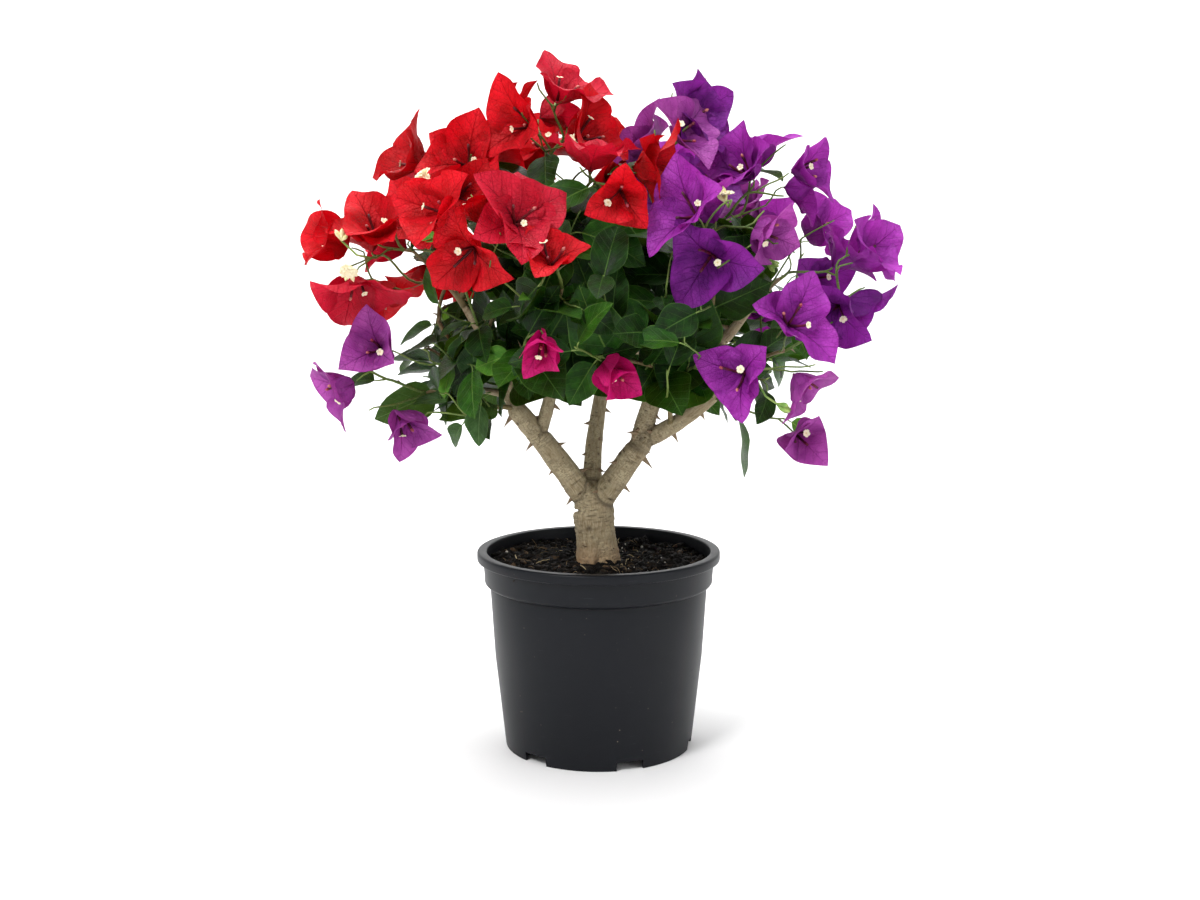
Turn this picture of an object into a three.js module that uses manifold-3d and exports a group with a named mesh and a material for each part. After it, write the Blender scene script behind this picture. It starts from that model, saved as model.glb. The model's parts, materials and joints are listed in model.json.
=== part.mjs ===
// Bougainvillea bush in a round plastic nursery pot, millimetres, +Z up.
// The origin is the middle of the flat underside of the pot. The front is towards -Y.
// Pot, potting soil, trunk, boughs and each mass of leaves or blossom are separate closed solids.

import * as THREE from 'three';
import { mergeVertices } from 'three/addons/utils/BufferGeometryUtils.js';
import Module from 'manifold-3d';

const wasm = await Module();
wasm.setup();

// ---- Driving dimensions -------------------------------------------------------------------

const GAP = 0.3;                  // clearance between neighbouring solids

const POT_HEIGHT = 156;
const RIM_RADIUS = 95;            // outside of the rolled lip
const BASE_RADIUS = 73.5;         // outside of the wall where it meets the table
const WALL = 1.9;
const LIP_WIDTH = 7.5;
const LIP_HEIGHT = 7.5;
const BAND_HEIGHT = 14;           // nearly upright band under the lip
const BAND_TOP_INSET = 4.5;       // how far the band stands in from the lip, at its top
const BAND_FOOT_INSET = 5.7;      // and at its foot
const SHOULDER_DROP = 5.5;        // height of the step from the band in to the tapered wall
const SHOULDER_STEP = 3.9;        // width of that step
const CHANNEL_HEIGHT = 7;         // drain channel round the underside
const CHANNEL_INNER_RADIUS = 50;  // the middle disc inside the channel stands on the table
const DRAIN_SLOTS = 6;
const DRAIN_SLOT_WIDTH = 22;
const DRAIN_SLOT_DEPTH = 16;      // along the radius, through the foot of the wall
const FIRST_SLOT_DEGREES = -71;
const POT_SEGMENTS = 36;

const SOIL_LEVEL = 147;           // where the trunk leaves the soil
const SOIL_RELIEF = 1.6;          // lumps on the soil's surface
const TRUNK_SEAT_RADIUS = 20;     // flat patch of soil round the trunk's foot
const SOIL_SEGMENTS = 24;

const TRUNK_RADIUS = 14.7;
const TRUNK_HEIGHT = 58;          // from the soil to the top of the fork
const TRUNK_SEAT = 4;             // how far its line starts below the soil
const TRUNK_LEAN = 6.5;           // to the left, over that height
const TRUNK_STRIDES = 5;
const FORK_SWELL = 1.6;           // how much thicker the trunk gets towards the fork
const FORK_CLOSE = 0.55;          // its top closes to this part of its radius, inside the boughs
const FLARE_REACH = 1.7;          // how far the root flare stands out
const FLARE_RIDGES = 5;
const LIMB_TAPER = 0.028;         // radius that a bough loses over each millimetre of length
const LIMB_STRIDE = 25;           // a bough changes its direction about this often
const LIMB_SIDES = 10;
const LIMB_STEP = 14;             // length of limb between two rings of corners

const CROWN_LUMPINESS = 0.13;     // depth of the lumps on a mass, as a part of its radius
const MASS_DETAIL = 2;            // how finely each mass is divided

// ---- Solids -------------------------------------------------------------------------------

function solidFrom(geometry) {
  const bare = geometry.index ? geometry.clone() : geometry;
  for (const name of Object.keys(bare.attributes)) {
    if (name !== 'position') bare.deleteAttribute(name);
  }
  const merged = mergeVertices(bare, 1e-3);
  const mesh = new wasm.Mesh({
    numProp: 3,
    vertProperties: new Float32Array(merged.attributes.position.array),
    triVerts: new Uint32Array(merged.index.array),
  });
  mesh.merge();
  return new wasm.Manifold(mesh);
}

function geometryFrom(solid) {
  const mesh = solid.getMesh();
  const geometry = new THREE.BufferGeometry();
  geometry.setAttribute('position', new THREE.BufferAttribute(mesh.vertProperties, 3));
  geometry.setIndex(new THREE.BufferAttribute(mesh.triVerts, 1));
  geometry.computeVertexNormals();
  return geometry;
}

function moveCorners(geometry, place) {
  const corners = geometry.attributes.position;
  const corner = new THREE.Vector3();
  for (let i = 0; i < corners.count; i += 1) {
    corner.fromBufferAttribute(corners, i);
    place(corner);
    corners.setXYZ(i, corner.x, corner.y, corner.z);
  }
  return geometry;
}

function boxSolid(size, centre, turn = new THREE.Quaternion()) {
  const geometry = new THREE.BoxGeometry(...size);
  geometry.applyQuaternion(turn);
  geometry.translate(...centre);
  return solidFrom(geometry);
}

// ---- Pot: one moulded plastic shell with a lip, a band under it and a drain channel --------

function potProfile() {
  const bandTop = POT_HEIGHT - LIP_HEIGHT;
  const bandFoot = bandTop - BAND_HEIGHT;
  const shoulderFoot = bandFoot - SHOULDER_DROP;
  const lipInner = RIM_RADIUS - LIP_WIDTH;
  const bandTopRadius = RIM_RADIUS - BAND_TOP_INSET;
  const bandFootRadius = RIM_RADIUS - BAND_FOOT_INSET;
  const wallTopRadius = bandFootRadius - SHOULDER_STEP;
  const floorTop = CHANNEL_HEIGHT + WALL;
  const channelOuter = BASE_RADIUS - WALL;
  return [
    [0, 0],
    [CHANNEL_INNER_RADIUS - 3, 0],
    [CHANNEL_INNER_RADIUS, CHANNEL_HEIGHT],
    [channelOuter + 0.4, CHANNEL_HEIGHT],
    [channelOuter, 0],
    [BASE_RADIUS, 0],
    [wallTopRadius, shoulderFoot],
    [bandFootRadius - 0.7, shoulderFoot + 2.6],
    [bandFootRadius, bandFoot],
    [bandTopRadius, bandTop],
    [RIM_RADIUS - 1, bandTop + 0.2],
    [RIM_RADIUS, bandTop + 1.4],
    [RIM_RADIUS, POT_HEIGHT - 1.6],
    [RIM_RADIUS - 1.2, POT_HEIGHT - 0.2],
    [RIM_RADIUS - 3, POT_HEIGHT],
    [lipInner, POT_HEIGHT - 0.4],
    [bandFootRadius - WALL, bandFoot - 1],
    [wallTopRadius - WALL, shoulderFoot - 1],
    [channelOuter + 0.9, floorTop],
    [CHANNEL_INNER_RADIUS - 1, floorTop],
    [CHANNEL_INNER_RADIUS - 4, WALL],
    [0, WALL],
  ].map(([radius, height]) => new THREE.Vector2(radius, height));
}

function potSolid() {
  const shell = new THREE.LatheGeometry(potProfile(), POT_SEGMENTS);
  shell.rotateX(Math.PI / 2);
  let pot = solidFrom(shell);
  const slot = [DRAIN_SLOT_DEPTH, DRAIN_SLOT_WIDTH, CHANNEL_HEIGHT * 2];
  for (let i = 0; i < DRAIN_SLOTS; i += 1) {
    const degrees = FIRST_SLOT_DEGREES + (i * 360) / DRAIN_SLOTS;
    const angle = THREE.MathUtils.degToRad(degrees);
    const turn = new THREE.Quaternion().setFromAxisAngle(new THREE.Vector3(0, 0, 1), angle);
    const reach = BASE_RADIUS - 2;
    const centre = [reach * Math.cos(angle), reach * Math.sin(angle), 0];
    pot = pot.subtract(boxSolid(slot, centre, turn));
  }
  return pot;
}

// ---- Soil: fills the pot to just below the lip --------------------------------------------

function soilSurface(x, y) {
  const fromTrunk = Math.hypot(x, y);
  const seat = THREE.MathUtils.smoothstep(fromTrunk, TRUNK_SEAT_RADIUS, 2 * TRUNK_SEAT_RADIUS);
  const lumps = Math.sin(x * 0.11 + 0.6) * Math.cos(y * 0.13) + 0.6 * Math.sin(x * 0.23 - y * 0.19);
  return SOIL_LEVEL - GAP + seat * (lumps * SOIL_RELIEF - 0.6);
}

function soilSolid() {
  const shoulderFoot = POT_HEIGHT - LIP_HEIGHT - BAND_HEIGHT - SHOULDER_DROP;
  const bandInner = RIM_RADIUS - BAND_FOOT_INSET - WALL;
  const wallInner = bandInner - SHOULDER_STEP;
  const clear = GAP * 2;
  const floor = CHANNEL_HEIGHT + WALL + clear;
  const surface = SOIL_LEVEL + 2;
  const profile = [
    [0, WALL + clear],
    [CHANNEL_INNER_RADIUS - 5, WALL + clear],
    [CHANNEL_INNER_RADIUS - 1.5, floor],
    [BASE_RADIUS - WALL, floor],
    [wallInner - clear, shoulderFoot - 1],
    [bandInner - clear, shoulderFoot + SHOULDER_DROP - 1 + clear],
    [RIM_RADIUS - LIP_WIDTH - clear, SOIL_LEVEL],
    [RIM_RADIUS * 0.66, surface],
    [RIM_RADIUS * 0.43, surface],
    [TRUNK_SEAT_RADIUS, surface],
    [0, surface],
  ].map(([radius, height]) => new THREE.Vector2(radius, height));
  const body = new THREE.LatheGeometry(profile, SOIL_SEGMENTS);
  body.rotateX(Math.PI / 2);
  moveCorners(body, (corner) => {
    if (corner.z >= SOIL_LEVEL) corner.z = soilSurface(corner.x, corner.y);
  });
  return solidFrom(body);
}

// ---- Limbs: one tapering body along a smooth centreline -----------------------------------

function centreline(stations) {
  const places = stations.map(([x, y, z]) => new THREE.Vector3(x, y, z));
  return new THREE.CatmullRomCurve3(places, false, 'centripetal');
}

// Each station is [x, y, z, radius]. grow makes the whole limb thicker, to cut its neighbours.
function limbSolid(stations, grow = 0, sectionAt = () => 1) {
  const line = centreline(stations);
  const steps = Math.max(3, Math.round(line.getLength() / LIMB_STEP));
  const frames = line.computeFrenetFrames(steps);
  const limb = new THREE.CylinderGeometry(1, 1, 1, LIMB_SIDES, steps);
  moveCorners(limb, (corner) => {
    const along = corner.y + 0.5;
    const step = Math.round(along * steps);
    const station = line.getUtoTmapping(along) * (stations.length - 1);
    const before = Math.min(Math.floor(station), stations.length - 2);
    const part = station - before;
    const radius = THREE.MathUtils.lerp(stations[before][3], stations[before + 1][3], part);
    const angle = Math.atan2(corner.z, corner.x);
    const reach = (radius + grow) * sectionAt(along, angle);
    const ends = (step === 0 ? -grow : 0) + (step === steps ? grow : 0);
    const [across, out] = [corner.x * reach, -corner.z * reach];
    line.getPointAt(along, corner);
    corner.addScaledVector(frames.normals[step], across);
    corner.addScaledVector(frames.binormals[step], out);
    corner.addScaledVector(frames.tangents[step], ends);
  });
  return solidFrom(limb);
}

function trunkLine() {
  const stations = [];
  for (let i = 0; i <= TRUNK_STRIDES; i += 1) {
    const up = THREE.MathUtils.lerp(-TRUNK_SEAT, TRUNK_HEIGHT, i / TRUNK_STRIDES);
    const share = Math.max(0, up / TRUNK_HEIGHT);
    const swollen = TRUNK_RADIUS + FORK_SWELL * share;
    const radius = i === TRUNK_STRIDES ? TRUNK_RADIUS * FORK_CLOSE : swollen;
    stations.push([-TRUNK_LEAN * share, 0, SOIL_LEVEL + up, radius]);
  }
  return stations;
}

function trunkSection(along, angle) {
  const flare = FLARE_REACH / TRUNK_RADIUS;
  const fall = Math.exp(-along * 9);
  return 1 + flare * fall * (1 + 0.8 * Math.cos(FLARE_RIDGES * angle + 0.9));
}

function trunkSolid(grow = 0) {
  const trunk = limbSolid(trunkLine(), grow, trunkSection);
  const below = boxSolid([90, 90, 30], [0, 0, SOIL_LEVEL - grow - 15]);
  return trunk.subtract(below);
}

// Each bough leaves the first limb in from, at that part of its length, and is cut back to the
// surface of all of them. On its way it swings from its first heading and rise to its last.
// Headings turn from +X towards +Y and rises are above level, in degrees. girth is its radius
// at the foot.
const boughs = [
  {
    name: 'bough_left', from: ['trunk'], at: 0.70,
    heading: [180, 200], rise: [58, 42], length: 175, girth: 10.5,
  },
  {
    name: 'bough_left_shoot', from: ['bough_left'], at: 0.42,
    heading: [345, 345], rise: [65, 90], length: 60, girth: 6,
  },
  {
    name: 'bough_middle', from: ['trunk', 'bough_left'], at: 0.70,
    heading: [100, 30], rise: [65, 75], length: 150, girth: 8.5,
  },
  {
    name: 'bough_right', from: ['trunk', 'bough_left', 'bough_middle'], at: 0.70,
    heading: [340, 360], rise: [55, 55], length: 75, girth: 11,
  },
  {
    name: 'bough_right_upper', from: ['bough_right'], at: 0.90,
    heading: [15, 15], rise: [85, 50], length: 60, girth: 8.5,
  },
  {
    name: 'bough_right_side', from: ['bough_right', 'bough_right_upper'], at: 0.90,
    heading: [345, 345], rise: [25, 45], length: 75, girth: 7.5,
  },
  {
    name: 'bough_right_fork', from: ['bough_right_upper'], at: 0.90,
    heading: [350, 380], rise: [20, 50], length: 65, girth: 6.2,
  },
  {
    name: 'bough_right_tip', from: ['bough_right_upper', 'bough_right_fork'], at: 0.95,
    heading: [30, 150], rise: [80, 80], length: 65, girth: 6,
  },
];

function boughLine({ at, heading, rise, length, girth }, bearer) {
  const foot = centreline(bearer).getPointAt(at);
  const strides = Math.max(3, Math.round(length / LIMB_STRIDE));
  const stride = length / strides;
  const stations = [[...foot.toArray(), girth]];
  for (let i = 1; i <= strides; i += 1) {
    const share = (i - 0.5) / strides;
    const turn = THREE.MathUtils.degToRad(THREE.MathUtils.lerp(...heading, share));
    const climb = THREE.MathUtils.degToRad(THREE.MathUtils.lerp(...rise, share));
    const [x, y, z, radius] = stations[i - 1];
    const across = stride * Math.cos(climb);
    stations.push([
      x + across * Math.cos(turn),
      y + across * Math.sin(turn),
      z + stride * Math.sin(climb),
      radius - LIMB_TAPER * stride,
    ]);
  }
  return stations;
}

// ---- Masses of leaves and blossom ---------------------------------------------------------

const RED = 0xc4121f;
const PURPLE = 0x7e32a6;
const LEAF = 0x24521f;

// Each mass: name, colour, centre and half sizes along X, Y and Z.
const masses = [
  ['red_top', RED, [-36, -5, 478], [55, 62, 44]],
  ['red_front', RED, [8, -88, 438], [50, 50, 38]],
  ['red_upper_left', RED, [-108, -8, 443], [50, 64, 44]],
  ['red_front_left', RED, [-82, -108, 404], [54, 50, 38]],
  ['red_left', RED, [-170, -25, 382], [50, 60, 48]],
  ['red_back_left', RED, [-118, 92, 402], [68, 66, 60]],
  ['red_back_top', RED, [-26, 92, 446], [62, 64, 54]],
  ['purple_top', PURPLE, [54, 0, 474], [48, 62, 42]],
  ['purple_front', PURPLE, [84, -92, 408], [54, 50, 44]],
  ['purple_upper_right', PURPLE, [128, -12, 436], [48, 62, 44]],
  ['purple_right', PURPLE, [174, -28, 370], [47, 60, 56]],
  ['purple_front_right', PURPLE, [122, -92, 318], [50, 42, 50]],
  ['purple_back', PURPLE, [64, 104, 418], [56, 60, 54]],
  ['purple_back_right', PURPLE, [140, 76, 376], [64, 66, 64]],
  ['purple_spray_left', PURPLE, [-166, -46, 296], [40, 20, 48]],
  ['purple_spray_right', PURPLE, [138, -52, 250], [34, 20, 38]],
  ['leaves_heart', LEAF, [2, 2, 380], [84, 84, 58]],
  ['leaves_left', LEAF, [-108, -28, 302], [54, 62, 62]],
  ['leaves_front', LEAF, [-26, -98, 344], [58, 58, 58]],
  ['leaves_front_right', LEAF, [56, -86, 324], [50, 56, 54]],
  ['leaves_back_left', LEAF, [-92, 92, 312], [72, 70, 56]],
  ['leaves_back_right', LEAF, [84, 84, 302], [76, 74, 52]],
  ['leaves_back', LEAF, [-6, 122, 356], [56, 52, 58]],
];

function lumps(direction, seed) {
  const [x, y, z] = direction;
  const wave = (angle, turn) => Math.sin(angle + turn * seed);
  const broad = (wave(3.1 * x, 1.7) + wave(3.7 * y, 2.3) + wave(3.3 * z, 2.9)) / 3;
  const fine = wave(7.3 * x + 4.1 * z, 1) * wave(6.9 * y - 3.1 * z, 2);
  return CROWN_LUMPINESS * (broad + 0.6 * fine);
}

function massSolid(centre, half, seed, grow = 0) {
  const blob = new THREE.IcosahedronGeometry(1, MASS_DETAIL);
  moveCorners(blob, (corner) => {
    const reach = 1 + lumps(corner.toArray(), seed);
    corner.set(
      centre[0] + corner.x * (half[0] * reach + grow),
      centre[1] + corner.y * (half[1] * reach + grow),
      centre[2] + corner.z * (half[2] * reach + grow),
    );
  });
  return solidFrom(blob);
}

function reachTowards(half, direction) {
  return Math.hypot(half[0] * direction.x, half[1] * direction.y, half[2] * direction.z);
}

// Neighbouring masses part at a plane between them, placed by how far each reaches towards it.
function cutByNeighbour(solid, own, other) {
  const ownCentre = new THREE.Vector3(...own.centre);
  const direction = new THREE.Vector3(...other.centre).sub(ownCentre);
  const distance = direction.length();
  direction.normalize();
  const ownReach = reachTowards(own.half, direction);
  const otherReach = reachTowards(other.half, direction);
  const swelling = 1 + 2 * CROWN_LUMPINESS;
  if ((ownReach + otherReach) * swelling < distance) return solid;
  const away = (distance * ownReach) / (ownReach + otherReach) - GAP;
  const size = 600;
  const middle = ownCentre.addScaledVector(direction, away + size / 2);
  const turn = new THREE.Quaternion().setFromUnitVectors(new THREE.Vector3(1, 0, 0), direction);
  return solid.subtract(boxSolid([size, size, size], middle.toArray(), turn));
}

function largestPiece(solid) {
  const pieces = solid.decompose();
  pieces.sort((a, b) => b.volume() - a.volume());
  return pieces[0];
}

// ---- Assembly -----------------------------------------------------------------------------

const group = new THREE.Group();

function addPart(name, solid, colour, roughness) {
  const material = new THREE.MeshStandardMaterial({ color: colour, roughness, metalness: 0 });
  const mesh = new THREE.Mesh(geometryFrom(solid), material);
  mesh.name = name;
  group.add(mesh);
}

addPart('pot', potSolid(), 0x26282d, 0.45);
addPart('soil', soilSolid(), 0x1b120c, 0.95);
addPart('trunk', trunkSolid(), 0x8d7f68, 0.9);

const crown = masses.map(([name, colour, centre, half], index) => ({
  name, colour, centre, half, seed: index + 1,
}));

const limbLines = { trunk: trunkLine() };
const grownLimbs = { trunk: trunkSolid(GAP) };
for (const bough of boughs) {
  const line = boughLine(bough, limbLines[bough.from[0]]);
  limbLines[bough.name] = line;
  let limb = limbSolid(line);
  for (const bearer of bough.from) limb = limb.subtract(grownLimbs[bearer]);
  for (const mass of crown) {
    limb = limb.subtract(massSolid(mass.centre, mass.half, mass.seed, GAP));
  }
  grownLimbs[bough.name] = limbSolid(line, GAP);
  addPart(bough.name, largestPiece(limb), 0x96876c, 0.9);
}

for (const mass of crown) {
  let solid = massSolid(mass.centre, mass.half, mass.seed);
  for (const other of crown) {
    if (other !== mass) solid = cutByNeighbour(solid, mass, other);
  }
  addPart(mass.name, largestPiece(solid), mass.colour, 0.7);
}

export default group;
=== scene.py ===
import json
import math

import bmesh
import bpy
import numpy as np
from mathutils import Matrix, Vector, noise

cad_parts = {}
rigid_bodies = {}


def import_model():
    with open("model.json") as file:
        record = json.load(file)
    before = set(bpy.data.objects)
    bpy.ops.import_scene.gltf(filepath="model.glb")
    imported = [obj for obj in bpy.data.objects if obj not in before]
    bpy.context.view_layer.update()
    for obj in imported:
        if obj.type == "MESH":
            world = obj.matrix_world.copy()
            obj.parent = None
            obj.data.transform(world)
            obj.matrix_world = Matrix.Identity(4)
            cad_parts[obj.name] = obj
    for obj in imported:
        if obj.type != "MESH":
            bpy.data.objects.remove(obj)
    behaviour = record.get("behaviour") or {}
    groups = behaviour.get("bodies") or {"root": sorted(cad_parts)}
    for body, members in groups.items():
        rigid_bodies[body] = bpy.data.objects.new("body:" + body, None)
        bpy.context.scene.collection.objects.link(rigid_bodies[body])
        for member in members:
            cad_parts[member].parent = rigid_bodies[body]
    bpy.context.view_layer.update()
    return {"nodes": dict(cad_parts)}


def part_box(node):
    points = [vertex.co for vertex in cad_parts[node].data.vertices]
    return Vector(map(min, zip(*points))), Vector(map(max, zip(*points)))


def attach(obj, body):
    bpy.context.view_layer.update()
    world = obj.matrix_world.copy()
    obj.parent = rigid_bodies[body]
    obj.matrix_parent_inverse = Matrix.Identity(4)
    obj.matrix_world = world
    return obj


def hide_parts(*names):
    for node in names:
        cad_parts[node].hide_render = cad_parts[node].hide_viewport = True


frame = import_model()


# The pot is one shell of dark polypropylene, injection moulded with a rolled lip, an upright
# band under it, a shoulder and a tapered wall. Its foot has drain slots, and its surface is
# satin, with fine scuffs from handling and a little dried compost near the foot.

class Wire:
    """A shader socket. Arithmetic on it adds Math nodes, and node() adds any other node."""

    def __init__(self, tree, socket=None):
        self.tree = tree
        self.socket = socket

    def node(self, kind, settings=None, inputs=None, out=0):
        made = self.tree.nodes.new(kind)
        for name, value in (settings or {}).items():
            if name == "stops":
                ramp = made.color_ramp
                while len(ramp.elements) < len(value):
                    ramp.elements.new(1.0)
                for stop, (place, colour) in zip(ramp.elements, value):
                    stop.position = place
                    stop.color = (*colour, 1.0)
            else:
                setattr(made, name, value)
        for key, value in (inputs or {}).items():
            if isinstance(value, Wire):
                self.tree.links.new(value.socket, made.inputs[key])
            elif value is not None:
                made.inputs[key].default_value = value
        return Wire(self.tree, made.outputs[out])

    def math(self, operation, *values):
        return self.node("ShaderNodeMath", {"operation": operation}, dict(enumerate(values)))

    def __add__(self, other):
        return self.math("ADD", self, other)

    __radd__ = __add__

    def __sub__(self, other):
        return self.math("SUBTRACT", self, other)

    def __rsub__(self, other):
        return self.math("SUBTRACT", other, self)

    def __mul__(self, other):
        return self.math("MULTIPLY", self, other)

    __rmul__ = __mul__

    def __abs__(self):
        return self.math("ABSOLUTE", self)

    def ramp(self, low, high):
        """0 where this is at low and 1 where it is at high, smooth between."""
        settings = {"interpolation_type": "SMOOTHSTEP"}
        inputs = {0: self, 1: low, 2: high, 3: 0.0, 4: 1.0}
        return self.node("ShaderNodeMapRange", settings, inputs)

    def noise(self, place, scale, detail=3.0, roughness=0.55):
        inputs = {"Vector": place, "Scale": scale, "Detail": detail, "Roughness": roughness}
        return self.node("ShaderNodeTexNoise", None, inputs)

    def mix(self, part, first, second):
        """Colour first where part is 0 and colour second where it is 1."""
        first = first if isinstance(first, Wire) else (*first, 1.0)
        second = second if isinstance(second, Wire) else (*second, 1.0)
        inputs = {0: part, 6: first, 7: second}
        return self.node("ShaderNodeMix", {"data_type": "RGBA"}, inputs, 2)

    def bump(self, height, distance, strength=1.0):
        inputs = {"Height": height, "Distance": distance, "Strength": strength}
        return self.node("ShaderNodeBump", None, inputs)


def new_material(name):
    """A material with an empty node tree, and a Wire to build it with."""
    material = bpy.data.materials.new(name)
    material.use_nodes = True
    material.node_tree.nodes.clear()
    return material, Wire(material.node_tree)


def finish_material(tree, colour, roughness, normal, fixed=None, glow=None):
    """Principled surface. fixed holds constant sockets; glow is (share, colour) of light let through."""
    inputs = {"Base Color": colour, "Roughness": roughness, "Normal": normal, **(fixed or {})}
    surface = tree.node("ShaderNodeBsdfPrincipled", None, inputs)
    if glow:
        share, through = glow
        behind = tree.node("ShaderNodeBsdfTranslucent", None, {"Color": (*through, 1.0), "Normal": normal})
        surface = tree.node("ShaderNodeMixShader", None, {0: share, 1: surface, 2: behind})
    output = tree.tree.nodes.new("ShaderNodeOutputMaterial")
    tree.tree.links.new(surface.socket, output.inputs["Surface"])


def mesh_piece(name, points, faces, material, smooth=True, uv=None):
    """A mesh object from an array of points and a list of arrays of faces, three or four corners each."""
    mesh = bpy.data.meshes.new(name)
    counts = np.concatenate([np.full(len(part), part.shape[1]) for part in faces])
    corners = np.concatenate([part.ravel() for part in faces])
    mesh.vertices.add(len(points))
    mesh.vertices.foreach_set("co", np.asarray(points, dtype=np.float32).ravel())
    mesh.loops.add(len(corners))
    mesh.loops.foreach_set("vertex_index", corners.astype(np.int32))
    mesh.polygons.add(len(counts))
    starts = np.concatenate([[0], np.cumsum(counts)[:-1]])
    mesh.polygons.foreach_set("loop_start", starts.astype(np.int32))
    mesh.update(calc_edges=True)
    if uv is not None:
        layer = mesh.uv_layers.new(name="OFBake")
        layer.uv.foreach_set("vector", np.asarray(uv, dtype=np.float32)[corners].ravel())
    if smooth:
        mesh.shade_smooth()
    mesh.validate()
    piece = bpy.data.objects.new(name, mesh)
    bpy.context.scene.collection.objects.link(piece)
    if material:
        mesh.materials.append(material)
    return piece


def ring_quads(rings, around):
    """Quads between closed rings of points, each ring around points long."""
    ring, place = np.meshgrid(np.arange(rings - 1), np.arange(around), indexing="ij")
    after = (place + 1) % around
    quads = [ring * around + place, ring * around + after]
    quads += [(ring + 1) * around + after, (ring + 1) * around + place]
    return np.stack(quads, axis=-1).reshape(-1, 4)


def lathe(profile, around):
    """Points and faces of a closed profile, given as (radius, height), turned about the Z axis."""
    profile = np.asarray(profile)
    angle = np.linspace(0, 2 * math.pi, around, endpoint=False)
    radius = profile[:, 0][:, None]
    points = np.stack([radius * np.cos(angle), radius * np.sin(angle),
                       np.repeat(profile[:, 1][:, None], around, axis=1)], axis=-1)
    quads = ring_quads(len(profile), around)
    closing = ring_quads(2, around)
    closing = np.where(closing < around, closing + (len(profile) - 1) * around, closing - around)
    return points.reshape(-1, 3), np.concatenate([quads, closing])


def arc(centre, radius, start, end, steps):
    """Points of an arc in the profile, from one angle to another, in degrees."""
    turn = np.radians(np.linspace(start, end, steps))
    return [(centre[0] + radius * math.cos(a), centre[1] + radius * math.sin(a)) for a in turn]


pot_low, pot_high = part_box("pot")
rim_radius = (pot_high[0] - pot_low[0]) / 2
pot_height = pot_high[2]
pot_wall = 0.0019
lip_inner = rim_radius - 0.0075
lip_foot = pot_height - 0.0075
band_foot = lip_foot - 0.014
shoulder_foot = band_foot - 0.0055
band_radius = rim_radius - 0.0045
band_foot_radius = rim_radius - 0.0057
wall_top_radius = rim_radius - 0.0096
foot_radius = 0.0735
channel_top = 0.007
channel_inner = 0.050
slot_count = 6
slot_width = 0.022
first_slot = math.radians(-71)


def pot_profile():
    foot_inner = foot_radius - pot_wall
    outside = [(foot_inner, 0.0004), (foot_inner + 0.0004, 0.0), (foot_radius - 0.0006, 0.0)]
    outside += arc((foot_radius - 0.0006, 0.0007), 0.0007, -60, 0, 3)
    outside += [(foot_radius + 0.004 * i, 0.036 * i) for i in (1, 2)]
    outside += [(wall_top_radius - 0.0004, shoulder_foot - 0.0012)]
    outside += [(wall_top_radius - 0.0006, shoulder_foot - 0.0004), (wall_top_radius, shoulder_foot)]
    outside += arc((band_foot_radius - 0.0030, shoulder_foot + 0.0036), 0.0030, -62, -4, 6)
    outside += [(band_foot_radius, band_foot + 0.002), (band_radius, lip_foot - 0.0012)]
    outside += arc((band_radius + 0.0010, lip_foot - 0.0010), 0.0010, 170, 100, 3)
    outside += arc((rim_radius - 0.0013, lip_foot + 0.0013), 0.0013, -80, 0, 5)
    outside += arc((rim_radius - 0.0018, pot_height - 0.0018), 0.0018, 5, 88, 6)
    inside = arc((lip_inner + 0.0012, pot_height - 0.0013), 0.0012, 95, 180, 5)
    inside += [(band_foot_radius - pot_wall, band_foot), (wall_top_radius - pot_wall, shoulder_foot)]
    inside += [(foot_inner + 0.0012, channel_top + pot_wall + 0.002)]
    inside += [(foot_inner - 0.001, channel_top + pot_wall), (channel_inner, channel_top + pot_wall)]
    inside += [(channel_inner - 0.003, pot_wall), (0.0004, pot_wall)]
    under = [(0.0004, 0.0), (channel_inner - 0.0034, 0.0), (channel_inner - 0.0030, 0.0004)]
    under += [(channel_inner, channel_top), (foot_inner, channel_top)]
    return outside + inside + under


def cut_slots(pot):
    """Cuts the drain slots through the foot of the wall."""
    cutters = bmesh.new()
    for i in range(slot_count):
        angle = first_slot + i * 2 * math.pi / slot_count
        made = bmesh.ops.create_cube(cutters, size=1.0)["verts"]
        for vertex in made:
            along = vertex.co.x * 0.016 + foot_radius - 0.002
            across = vertex.co.y * slot_width * (1.0 if vertex.co.z < 0 else 0.94)
            height = vertex.co.z * 2 * channel_top
            vertex.co = (along * math.cos(angle) - across * math.sin(angle),
                         along * math.sin(angle) + across * math.cos(angle), height)
    mesh = bpy.data.meshes.new("slot_cutters")
    cutters.to_mesh(mesh)
    cutters.free()
    cutter = bpy.data.objects.new("slot_cutters", mesh)
    bpy.context.scene.collection.objects.link(cutter)
    cut = pot.modifiers.new("slots", "BOOLEAN")
    cut.object = cutter
    cut.operation = "DIFFERENCE"
    apply_modifiers(pot)
    bpy.data.objects.remove(cutter)


def apply_modifiers(piece):
    """Replaces the piece's mesh by what its modifiers make of it."""
    graph = bpy.context.evaluated_depsgraph_get()
    result = bpy.data.meshes.new_from_object(piece.evaluated_get(graph), depsgraph=graph)
    piece.modifiers.clear()
    piece.data = result


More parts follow.
